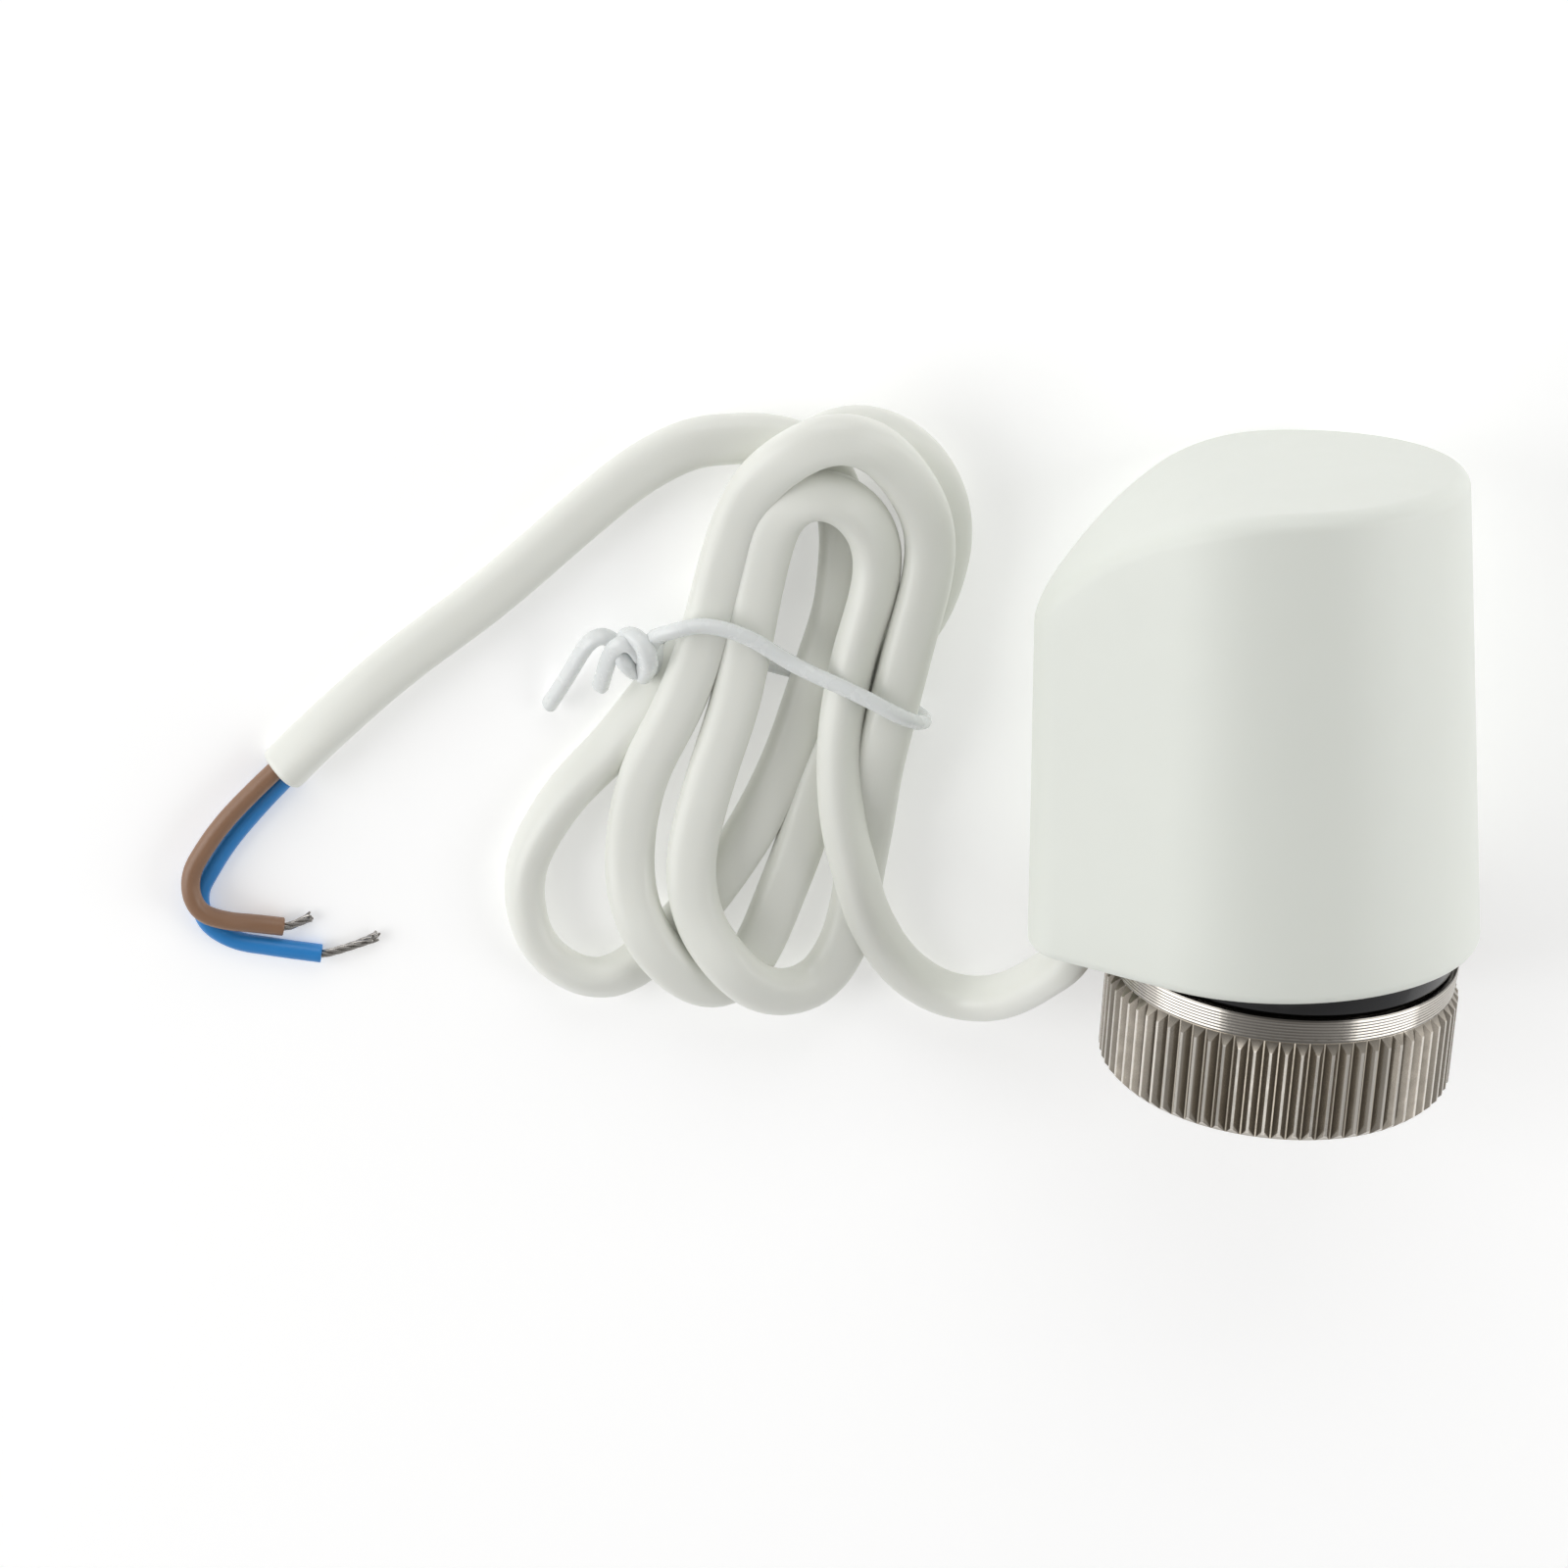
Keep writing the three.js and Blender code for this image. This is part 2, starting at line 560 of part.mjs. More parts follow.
// Outline round the hank's three rounded ends.
function hankOutline(segments = 14) {
  const shape = new THREE.Shape();
  const corners = HANK_ENDS.map(([x, y, r]) => ({ x, y, r }));
  const turns = corners.map((corner, i) => {
    const next = corners[(i + 1) % corners.length];
    const distance = Math.hypot(next.x - corner.x, next.y - corner.y);
    const heading = Math.atan2(next.y - corner.y, next.x - corner.x);
    return heading - Math.PI / 2 + Math.asin((next.r - corner.r) / distance) * -1;
  });
  corners.forEach((corner, i) => {
    let start = turns[(i + corners.length - 1) % corners.length];
    let end = turns[i];
    while (end < start) end += 2 * Math.PI;
    for (let k = 0; k <= segments; k += 1) {
      const angle = start + ((end - start) * k) / segments;
      const x = corner.x + corner.r * Math.cos(angle);
      const y = corner.y + corner.r * Math.sin(angle);
      if (i === 0 && k === 0) shape.moveTo(x, y);
      else shape.lineTo(x, y);
    }
  });
  shape.closePath();
  return shape;
}

function leadHank() {
  return new THREE.ExtrudeGeometry(hankOutline(), { depth: HANK_TOP - GAP, bevelEnabled: false })
    .translate(0, 0, GAP);
}

// A wire tie over the hank: a staple with its ends twisted together at the left.
function wireTie() {
  const [wide, thick] = TIE_SECTION;
  const top = HANK_TOP + GAP;
  const bar = block(-TIE_HALF - thick, TIE_HALF + thick, -wide / 2, wide / 2, top, top + thick);
  const legs = [-TIE_HALF - thick, TIE_HALF].map((x) => block(x, x + thick, -wide / 2, wide / 2, GAP, top + 0.5));
  const knot = disc(1.3, 0, 3.4, 12).rotateY(-Math.PI / 2).translate(-TIE_HALF - 0.5, 0, 5);
  const tail = block(-TIE_HALF - 9.5, -TIE_HALF - 3.6, -0.5, 0.5, 4.6, 5.4);
  return join(bar, ...legs, knot, tail).rotateZ(TIE_TURN).translate(...TIE_CENTRE, 0);
}

// ---- Assembly ----

const WHITE_PLASTIC = material(0xe6e8e2, 0.4);
const GREY_PLASTIC = material(0xc8cac8, 0.5);
const BLACK_PLASTIC = material(0x111113, 0.3);
const NICKEL = material(0xb5ada2, 0.3, 1);
const STEEL = material(0xb8bcc0, 0.3, 1);
const BRASS = material(0xb89a58, 0.35, 1);
const TIN = material(0xa9a9a6, 0.4, 1);
const CERAMIC = material(0x8a7a6c, 0.8);
const RUBBER = material(0x202022, 0.7);
const SHEATH = material(0xe4e4dc, 0.5);
const BROWN = material(0x8f6d54, 0.5);
const BLUE = material(0x2f7cc0, 0.5);
const TIE_WHITE = material(0xe6eaea, 0.5);

function material(color, roughness, metalness = 0) {
  return new THREE.MeshStandardMaterial({ color, roughness, metalness });
}

function add(parent, name, geometry, finish) {
  const mesh = new THREE.Mesh(closed(geometry), finish);
  mesh.name = name;
  parent.add(mesh);
}

function housingGroup() {
  const group = new THREE.Group();
  add(group, 'housing_cover', housingCover(), WHITE_PLASTIC);
  add(group, 'base_plate', basePlate(), GREY_PLASTIC);
  add(group, 'snap_ring', snapRing(), STEEL);
  add(group, 'thrust_washer', ringBody(COLLAR_R + GAP, 14.0, ...WASHER_Z), BLACK_PLASTIC);
  add(group, 'plunger_guide', ringBody(STEM_R + 0.1, COLLAR_BORE_R - GAP, ...GUIDE_Z), WHITE_PLASTIC);
  add(group, 'plunger_seal', plungerSeal(), RUBBER);
  return group;
}

function driveGroup() {
  const group = new THREE.Group();
  add(group, 'plunger_cup', plungerCup(), WHITE_PLASTIC);
  add(group, 'plunger_tip', plungerTip(), STEEL);
  add(group, 'return_spring', returnSpring(), STEEL);
  add(group, 'wax_capsule', waxCapsule(), BRASS);
  add(group, 'wax_piston', disc(PISTON_R, ...PISTON_Z, 16), STEEL);
  add(group, 'pressure_disc', disc(4.0, ...PRESSURE_DISC_Z, 24), STEEL);
  add(group, 'heater_ring', ringBody(CAPSULE_NECK_R + GAP, CAPSULE_R - 0.2, ...HEATER_Z, 28), CERAMIC);
  add(group, 'capsule_cage', capsuleCage(), GREY_PLASTIC);
  cageScrewPlaces().forEach((place, i) => add(group, `cage_screw_${i + 1}`, cageScrew(place), STEEL));
  return group;
}

function electricalGroup() {
  const group = new THREE.Group();
  add(group, 'terminal_block', terminalBlock(), WHITE_PLASTIC);
  [['live', CONTACT_Y, BROWN], ['neutral', -CONTACT_Y, BLUE]].forEach(([pole, y, insulation]) => {
    add(group, `terminal_${pole}`, terminal(y), BRASS);
    add(group, `contact_spring_${pole}`, contactSpring(y), BRASS);
    add(group, `inner_core_${pole}`, innerCore(y), insulation);
  });
  add(group, 'cable_bush', cableBush(), WHITE_PLASTIC);
  add(group, 'bush_wedge', bushWedge(), BLACK_PLASTIC);
  add(group, 'sheath_end', sheathEnd(), SHEATH);
  return group;
}

// The loose nut: its own Z axis leans to the right and its mouth sags towards the floor.
function nutGroup() {
  const group = new THREE.Group();
  add(group, 'union_nut', unionNut(), NICKEL);
  add(group, 'nut_slip_ring', ringBody(...SLIP_RING_R, GAP, NUT_NECK_TOP_Z, 48), BLACK_PLASTIC);
  const axis = new THREE.Vector3(Math.tan(NUT_LEAN_RIGHT), -Math.tan(NUT_LEAN_UP), 1).normalize();
  group.quaternion.setFromUnitVectors(new THREE.Vector3(0, 0, 1), axis);
  group.position.set(...NUT_MOUTH_CENTRE).addScaledVector(axis, -NUT_MOUTH_Z);
  return group;
}

function leadGroup() {
  const group = new THREE.Group();
  add(group, 'lead_exit', cord(LEAD_TO_HANK, ...LEAD, 18), SHEATH);
  add(group, 'lead_hank', leadHank(), SHEATH);
  add(group, 'lead_end', cord(LEAD_FROM_HANK, ...LEAD, 16), SHEATH);
  add(group, 'brown_core', cord(BROWN_CORE, CORE_D, CORE_D, 18, 8), BROWN);
  add(group, 'blue_core', cord(BLUE_CORE, CORE_D, CORE_D, 18, 8), BLUE);
  add(group, 'brown_strands', cord(BROWN_STRANDS, STRANDS_D, STRANDS_D, 4, 8), TIN);
  add(group, 'blue_strands', cord(BLUE_STRANDS, STRANDS_D, STRANDS_D, 6, 8), TIN);
  add(group, 'wire_tie', wireTie(), TIE_WHITE);
  return group;
}

const head = new THREE.Group();
head.add(housingGroup(), driveGroup(), electricalGroup(), nutGroup());
head.rotation.x = -(Math.PI / 2 + DRAFT);
head.position.set(HEAD_PLACE_X, HEAD_PLACE_Y, HOUSING_R * Math.cos(DRAFT));

const part = new THREE.Group();
part.add(head, leadGroup());

export default part;
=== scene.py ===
"""A thermoelectric actuator head lying on its round side, with its lead in a tied hank.

Sizes are in millimetres and go to metres by MM where a mesh is made. A piece of the head is made in
the head's own frame, whose Z runs from the nut to the housing's top, and a piece of the nut in the
nut's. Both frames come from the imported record.
"""

import json
import random
from math import acos, cos, pi, radians, sin, tan

import bpy
import numpy as np
from mathutils import Matrix, Vector


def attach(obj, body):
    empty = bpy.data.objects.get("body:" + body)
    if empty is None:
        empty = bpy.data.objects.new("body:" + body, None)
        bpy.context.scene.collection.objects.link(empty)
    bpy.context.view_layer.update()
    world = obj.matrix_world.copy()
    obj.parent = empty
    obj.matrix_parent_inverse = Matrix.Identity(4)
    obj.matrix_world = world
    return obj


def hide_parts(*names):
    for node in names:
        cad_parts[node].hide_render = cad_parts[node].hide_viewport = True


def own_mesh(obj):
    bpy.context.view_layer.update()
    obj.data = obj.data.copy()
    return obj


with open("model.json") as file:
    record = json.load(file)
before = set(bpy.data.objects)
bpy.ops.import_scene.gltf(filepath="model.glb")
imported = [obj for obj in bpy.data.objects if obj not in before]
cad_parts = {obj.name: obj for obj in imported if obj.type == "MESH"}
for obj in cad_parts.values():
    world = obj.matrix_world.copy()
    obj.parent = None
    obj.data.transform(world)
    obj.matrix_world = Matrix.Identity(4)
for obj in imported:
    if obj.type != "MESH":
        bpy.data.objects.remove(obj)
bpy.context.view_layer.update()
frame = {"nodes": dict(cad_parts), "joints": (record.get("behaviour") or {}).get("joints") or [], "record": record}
joints = {joint["name"]: joint for joint in frame["joints"]}
mounts = {mount["name"]: mount for mount in frame["record"]["mounts"]}
scene = bpy.context.scene
rng = random.Random(7)

MM = 0.001
UP = np.array([0.0, 0.0, 1.0])

# ---- Sizes, as the CAD has them ----

HOUSING_R = 19.85
TAIL_R = 7.1
TAIL_X = 19.0
HOUSING_H = 49.0
DRAFT = radians(2.05)
TOP_EDGE_R = 1.7
RIM_R = 1.1
SKIRT_WALL = 1.4
TOP_WALL = 1.8
TOP_FLAT_X = 2.5
TOP_FALL = 0.0015
TOP_FALL_POWER = 2.74
BASE_Z = 6.2
BASE_TOP = 8.7
COLLAR_BORE_R = 9.9
GAP = 0.3
BUSH_X = 20.3
TIP_FACE_Z = -8.5
NUT_PIVOT_Z = -0.15
NUT_R = 18.05
BAND_LINES = 7
NUT_GROOVE_R = 17.25
NUT_TEETH = 72
NUT_MOUTH_Z = -13.5
KNURL_TOP_Z = -2.76
THREAD_MINOR_R = 14.19
THREAD_MAJOR_R = 15.0
THREAD_PITCH = 1.5
LEAD = (5.2, 4.0)
CORE_D = 2.0

# ---- Camera ----

CAMERA_PLACE = (-0.04723, 0.15558, 0.43536)
CAMERA_PITCH = radians(20.32)  # away from straight down
CAMERA_ROLL = radians(-1.95)
CAMERA_LENS = 101.25


def make_camera():
    looking = Vector((0, -sin(CAMERA_PITCH), -cos(CAMERA_PITCH)))
    right = Vector((1, 0, 0))
    up = right.cross(looking)
    rolled_right = cos(CAMERA_ROLL) * right + sin(CAMERA_ROLL) * up
    rolled_up = cos(CAMERA_ROLL) * up - sin(CAMERA_ROLL) * right
    data = bpy.data.cameras.new("camera")
    data.lens = CAMERA_LENS
    data.sensor_width = 36
    data.clip_start, data.clip_end = 0.01, 20
    camera = bpy.data.objects.new("camera", data)
    turn = Matrix((rolled_right, rolled_up, -looking)).transposed()
    camera.matrix_world = Matrix.Translation(CAMERA_PLACE) @ turn.to_4x4()
    scene.collection.objects.link(camera)
    scene.camera = camera


make_camera()


# ---- Frames of the head and the nut ----


def local_frame(origin, axis):
    """A frame whose Z is the axis and whose X stays nearest the row's X."""
    z = Vector(axis).normalized()
    y = z.cross(Vector((1, 0, 0))).normalized()
    matrix = Matrix((y.cross(z), y, z)).transposed().to_4x4()
    matrix.translation = origin
    return matrix


HEAD_AXIS = -Vector(joints["plunger_slide"]["axis"])
NUT_AXIS = Vector(joints["nut_spin"]["axis"])
ROW = Matrix.Identity(4)
HEAD = local_frame(Vector(mounts["plunger_face"]["pos_m"]) - TIP_FACE_Z * MM * HEAD_AXIS, HEAD_AXIS)
NUT = local_frame(Vector(joints["nut_spin"]["pos_m"]) - NUT_PIVOT_Z * MM * NUT_AXIS, NUT_AXIS)


# ---- Materials ----


def node(tree, kind, inputs=None, **settings):
    made = tree.nodes.new(kind)
    for key, value in settings.items():
        setattr(made, key, value)
    for key, value in (inputs or {}).items():
        made.inputs[key].default_value = value
    return made


def link(tree, source, socket, target, name):
    tree.links.new(source.outputs[socket], target.inputs[name])


def coordinates(tree, own, stretch):
    """Millimetre coordinates: the mesh's own, kept as an attribute, or the row frame's."""
    if own:
        source, socket, scale = node(tree, "ShaderNodeAttribute", attribute_name="own_mm"), "Vector", 1
    else:
        source, socket, scale = node(tree, "ShaderNodeTexCoord"), "Object", 1000
    mapping = node(tree, "ShaderNodeMapping", {"Scale": [scale * s for s in stretch]})
    link(tree, source, socket, mapping, "Vector")
    return mapping


def noise(tree, mapping, per_mm, detail=3.0, roughness=0.55):
    made = node(tree, "ShaderNodeTexNoise", {"Scale": per_mm, "Detail": detail, "Roughness": roughness})
    link(tree, mapping, "Vector", made, "Vector")
    return made


def surface(
    name, colour, roughness, metallic=0.0, mottle=0.03, mottle_per_mm=0.12, tint=None,
    grain_per_mm=2.5, grain_mm=0.01, rough_spread=0.06, own=False, soft=0.0, specular=0.5, lines=None,
):  # fmt: skip
    """A procedural finish: a mottled colour, an uneven roughness and a fine grain in relief.

    lines is (stretch, how many per mm, depth in mm) of drawn streaks under the grain.
    """
    made = bpy.data.materials.new(name)
    made.use_nodes = True
    tree = made.node_tree
    shader = tree.nodes["Principled BSDF"]
    shader.inputs["Metallic"].default_value = metallic
    shader.inputs["Specular IOR Level"].default_value = specular
    if soft:
        shader.inputs["Subsurface Weight"].default_value = soft
        shader.inputs["Subsurface Radius"].default_value = (1.0, 0.9, 0.8)
        shader.inputs["Subsurface Scale"].default_value = 0.8 * MM
    mapping = coordinates(tree, own, (1, 1, 1))
    patches = noise(tree, mapping, mottle_per_mm)
    dark = [c * (1 - mottle) for c in colour]
    light = [min(1, c * (1 + mottle)) for c in (tint or colour)]
    mix = node(tree, "ShaderNodeMix", {"A": (*dark, 1), "B": (*light, 1)}, data_type="RGBA")
    link(tree, patches, "Fac", mix, "Factor")
    tree.links.new(mix.outputs["Result"], shader.inputs["Base Color"])
    reach = {"To Min": roughness - rough_spread, "To Max": roughness + rough_spread}
    spread = node(tree, "ShaderNodeMapRange", {"From Min": 0.3, "From Max": 0.7, **reach})
    link(tree, noise(tree, mapping, mottle_per_mm * 6, 4), "Fac", spread, "Value")
    link(tree, spread, "Result", shader, "Roughness")
    bump = node(tree, "ShaderNodeBump", {"Strength": 1.0, "Distance": grain_mm * MM})
    link(tree, noise(tree, mapping, grain_per_mm, 5, 0.6), "Fac", bump, "Height")
    if lines:
        stretch, per_mm, depth = lines
        drawn = node(tree, "ShaderNodeBump", {"Strength": 1.0, "Distance": depth * MM})
        streaks = coordinates(tree, own, stretch)
        link(tree, noise(tree, streaks, per_mm, 4, 0.7), "Fac", drawn, "Height")
        link(tree, drawn, "Normal", bump, "Normal")
    link(tree, bump, "Normal", shader, "Normal")
    return made


MATERIALS = {
    "housing_white": surface(
        "housing_white", (0.775, 0.80, 0.745), 0.42, mottle=0.012, mottle_per_mm=0.05,
        grain_per_mm=3.2, grain_mm=0.006, rough_spread=0.04, soft=0.08,
    ),
    "base_grey": surface("base_grey", (0.50, 0.51, 0.50), 0.5, mottle=0.04, grain_mm=0.012),
    "inner_white": surface("inner_white", (0.72, 0.73, 0.70), 0.45, mottle=0.03, grain_mm=0.008),
    "black_plastic": surface(
        "black_plastic", (0.008, 0.008, 0.009), 0.17, mottle=0.2, grain_mm=0.002, rough_spread=0.04,
        specular=0.6,
    ),
    "nut_nickel": surface(
        "nut_nickel", (0.73, 0.68, 0.61), 0.19, metallic=1.0, mottle=0.03, mottle_per_mm=0.1,
        tint=(0.78, 0.745, 0.69), grain_per_mm=4.0, grain_mm=0.0008, rough_spread=0.03, own=True,
    ),
    "spring_steel": surface(
        "spring_steel", (0.50, 0.50, 0.50), 0.3, metallic=1.0, mottle=0.05, grain_mm=0.004,
    ),
    "capsule_brass": surface(
        "capsule_brass", (0.62, 0.43, 0.19), 0.3, metallic=1.0, mottle=0.08, grain_mm=0.005,
    ),
    "heater_ceramic": surface("heater_ceramic", (0.20, 0.16, 0.13), 0.8, mottle=0.15, grain_mm=0.03),
    "seal_rubber": surface("seal_rubber", (0.015, 0.015, 0.016), 0.6, mottle=0.2, grain_mm=0.02),
    "lead_sheath": surface(
        "lead_sheath", (0.83, 0.84, 0.785), 0.34, mottle=0.015, mottle_per_mm=0.07, grain_per_mm=1.6,
        grain_mm=0.006, own=True, soft=0.10, lines=((1.0, 1.0, 0.03), 1.1, 0.02),
    ),
    "core_brown": surface(
        "core_brown", (0.27, 0.150, 0.088), 0.36, mottle=0.07, mottle_per_mm=0.3, grain_mm=0.012,
        lines=((1.0, 1.0, 1.0), 1.6, 0.03),
    ),
    "core_blue": surface(
        "core_blue", (0.026, 0.235, 0.61), 0.34, mottle=0.06, mottle_per_mm=0.3, grain_mm=0.012,
        lines=((1.0, 1.0, 1.0), 1.6, 0.03),
    ),
    "tinned_copper": surface(
        "tinned_copper", (0.44, 0.42, 0.395), 0.3, metallic=1.0, mottle=0.15, mottle_per_mm=1.0,
        grain_mm=0.006,
    ),
    "tie_white": surface(
        "tie_white", (0.82, 0.845, 0.84), 0.26, mottle=0.015, grain_per_mm=1.2, grain_mm=0.006,
        soft=0.15,
    ),
}  # fmt: skip


BAND_EDGE = 0.2
# Light and dark bands painted on the nut's band by height: the turned lines' painted highlights and shade.
BAND_PAINTED_LINE_SHADE = {"To Min": 0.28, "To Max": 0.8}
# Tones of the knurl by radius: painted shade on the flanks, darkest near the grooves.
KNURL_PAINTED_SHADE_AND_GLINT = ((0.07, 0.36), (0.55, 0.52), (0.88, 0.60))


def paint_nut_glints_and_shade(made):
    """Painted highlights on the knurl's crests and root line, painted shade on its flanks, and the band's turned
    lines painted as light and dark bands.
    """
    tree = made.node_tree
    shader = tree.nodes["Principled BSDF"]
    plain = shader.inputs["Base Color"].links[0].from_socket
    split = node(tree, "ShaderNodeSeparateXYZ")
    link(tree, node(tree, "ShaderNodeAttribute", attribute_name="own_mm"), "Vector", split, "Vector")
    across = node(tree, "ShaderNodeCombineXYZ")
    link(tree, split, "X", across, "X")
    link(tree, split, "Y", across, "Y")
    radius = node(tree, "ShaderNodeVectorMath", operation="LENGTH")
    tree.links.new(across.outputs["Vector"], radius.inputs[0])
    share = node(tree, "ShaderNodeMapRange", {"From Min": NUT_GROOVE_R, "From Max": NUT_R})
    link(tree, radius, "Value", share, "Value")
    # Painted highlights: a bright line at the root and on the crests, with painted shade on the flanks between.
    tooth = node(tree, "ShaderNodeValToRGB")
    stops = tooth.color_ramp.elements
    stops[0].position, stops[0].color = 0.0, (1.0, 0.97, 0.92, 1)
    stops[1].position, stops[1].color = 1.0, (1.0, 1.0, 1.0, 1)
    for position, tone in KNURL_PAINTED_SHADE_AND_GLINT:
        stops.new(position).color = (tone, tone * 0.96, tone * 0.90, 1)
    link(tree, share, "Result", tooth, "Fac")
    # Painted highlights and shade of the turned lines, as a sine by height on the band.
    turns = node(tree, "ShaderNodeMath", operation="MULTIPLY")
    link(tree, split, "Z", turns, 0)
    turns.inputs[1].default_value = 2 * pi * BAND_LINES / (-BAND_EDGE - KNURL_TOP_Z - BAND_EDGE)
    wave = node(tree, "ShaderNodeMath", operation="SINE")
    link(tree, turns, "Value", wave, 0)
    marks = node(tree, "ShaderNodeMapRange", {"From Min": -1, "From Max": 1, **BAND_PAINTED_LINE_SHADE})
    link(tree, wave, "Value", marks, "Value")
    starts = {"From Min": KNURL_TOP_Z + BAND_EDGE / 2, "From Max": KNURL_TOP_Z + BAND_EDGE}
    on_band = node(tree, "ShaderNodeMapRange", starts)
    link(tree, split, "Z", on_band, "Value")
    chosen = node(tree, "ShaderNodeMix", data_type="RGBA")
    link(tree, on_band, "Result", chosen, "Factor")
    tree.links.new(tooth.outputs["Color"], chosen.inputs["A"])
    tree.links.new(marks.outputs["Result"], chosen.inputs["B"])
    tinted = node(tree, "ShaderNodeMix", {"Factor": 1.0}, data_type="RGBA", blend_type="MULTIPLY")
    tree.links.new(plain, tinted.inputs["A"])
    tree.links.new(chosen.outputs["Result"], tinted.inputs["B"])
    tree.links.new(tinted.outputs["Result"], shader.inputs["Base Color"])


# Paints highlights and shade into the nut's colour.
paint_nut_glints_and_shade(MATERIALS["nut_nickel"])


# ---- Mesh helpers ----


def signed_volume(points, faces):
    volume = 0.0
    for face in faces:
        a = points[face[0]]
        for k in range(1, len(face) - 1):
            volume += float(np.dot(a, np.cross(points[face[k]], points[face[k + 1]])))
    return volume / 6


class Skin:
    """The points and faces of one mesh, grown a closed shell at a time."""

    def __init__(self):
        self.points, self.own, self.faces = [], [], []

    def add(self, points, faces, own=None):
        points = np.asarray(points, float)
        if signed_volume(points, faces) < 0:
            faces = [face[::-1] for face in faces]
        start = len(self.points)
        self.points.extend(points.tolist())
        self.own.extend((points if own is None else np.asarray(own, float)).tolist())
        self.faces.extend([tuple(start + i for i in face) for face in faces])
        return self

    def add_rings(self, rings, joined=False, own=None):
        """Rings with equal numbers of points, joined to one another; the ends are capped, or meet."""
        count = len(rings[0])
        points = [p for ring in rings for p in ring]
        faces = []
        last = len(rings) if joined else len(rings) - 1
        for r in range(last):
            a, b = r * count, (r + 1) % len(rings) * count
            for i in range(count):
                k = (i + 1) % count
                faces.append((a + i, a + k, b + k, b + i))
        own_points = [p for ring in own for p in ring] if own is not None else None
        if not joined:
            for r in (0, len(rings) - 1):
                centre = len(points)
                points.append(np.mean(rings[r], axis=0))
                if own is not None:
                    own_points.append(np.mean(own[r], axis=0))
                for i in range(count):
                    edge = (r * count + i, r * count + (i + 1) % count)
                    faces.append((*(edge if r else edge[::-1]), centre))
        return self.add(points, faces, own_points)


def place(points, matrix):
    """Millimetre points of a local frame, in the row frame in metres."""
    turn = np.array(matrix)
    return np.asarray(points, float) * MM @ turn[:3, :3].T + turn[:3, 3]


def piece(name, skin, slot, body, matrix=ROW, replaces=(), sharp=32):
    mesh = bpy.data.meshes.new(name)
    mesh.from_pydata(place(skin.points, matrix).tolist(), [], skin.faces)
    own = mesh.attributes.new("own_mm", "FLOAT_VECTOR", "POINT")
    own.data.foreach_set("vector", np.asarray(skin.own, np.float32).ravel())
    mesh.materials.append(MATERIALS[slot])
    mesh.shade_smooth()
    mesh.set_sharp_from_angle(angle=radians(sharp))
    made = bpy.data.objects.new(name, mesh)
    scene.collection.objects.link(made)
    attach(made, body)
    if replaces:
        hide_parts(*replaces)
    return made


def rounded(corners, radius, steps=3):
    """An outline's corners, each turned into a small arc."""
    corners = [np.array(c, float) for c in corners]
    outline = []
    for i, corner in enumerate(corners):
        before, after = corners[i - 1], corners[(i + 1) % len(corners)]
        into, out = before - corner, after - corner
        reach = min(radius, np.linalg.norm(into) * 0.45, np.linalg.norm(out) * 0.45)
        start = corner + into / np.linalg.norm(into) * reach
        end = corner + out / np.linalg.norm(out) * reach
        for k in range(steps + 1):
            t = k / steps
            outline.append((1 - t) ** 2 * start + 2 * t * (1 - t) * corner + t**2 * end)
    return outline


def turned(outline, sides=128, edge=0.15, oval=(1, 1), centre=(0, 0)):
    """A body turned about Z from a closed outline of (radius, z) corners that stays off the axis."""
    angles = np.linspace(0, 2 * pi, sides, endpoint=False)
    rings = [
        np.stack(
            [
                centre[0] + oval[0] * r * np.cos(angles),
                centre[1] + oval[1] * r * np.sin(angles),
                np.full(sides, z),
            ],
            axis=1,
        )
        for r, z in rounded(outline, edge)
    ]
    return Skin().add_rings(rings, joined=True)


# ---- Routes and tubes ----


def smooth_route(points, step, passes=0):
    """Evenly spaced samples of a centripetal Catmull-Rom curve; columns past the third ride along."""
    p = np.asarray(points, float)
    p = np.vstack([2 * p[0] - p[1], p, 2 * p[-1] - p[-2]])
    fine = []
    for a, b, c, d in zip(p, p[1:], p[2:], p[3:]):
        gaps = [np.linalg.norm((y - x)[:3]) ** 0.5 for x, y in ((a, b), (b, c), (c, d))]
        t0, t1, t2, t3 = np.cumsum([0, *gaps])
        t = np.linspace(t1, t2, 30, endpoint=False)[:, None]
        ab = ((t1 - t) * a + (t - t0) * b) / (t1 - t0)
        bc = ((t2 - t) * b + (t - t1) * c) / (t2 - t1)
        cd = ((t3 - t) * c + (t - t2) * d) / (t3 - t2)
        abc = ((t2 - t) * ab + (t - t0) * bc) / (t2 - t0)
        bcd = ((t3 - t) * bc + (t - t1) * cd) / (t3 - t1)
        fine.extend(((t2 - t) * abc + (t - t1) * bcd) / (t2 - t1))
    fine = np.array([*fine, p[-2]])
    lengths = np.cumsum([0, *np.linalg.norm(np.diff(fine[:, :3], axis=0), axis=1)])
    count = max(2, round(lengths[-1] / step))
    even = np.linspace(0, lengths[-1], count + 1)
    route = np.stack([np.interp(even, lengths, column) for column in fine.T], axis=1)
    for _ in range(passes):
        route[1:-1] = (route[:-2] + 2 * route[1:-1] + route[2:]) / 4
    return route


def tangents(route):
    along = np.gradient(route[:, :3], axis=0)
    return along / np.linalg.norm(along, axis=1)[:, None]


def level_widths(route):
    """The width direction of a flat cord, turned up from the floor by the route's lean column."""
    along = tangents(route)
    level = np.cross(UP, along)
    level /= np.linalg.norm(level, axis=1)[:, None]
    over = np.cross(along, level)
    lean = np.radians(route[:, 3])[:, None]
    return np.cos(lean) * level + np.sin(lean) * over


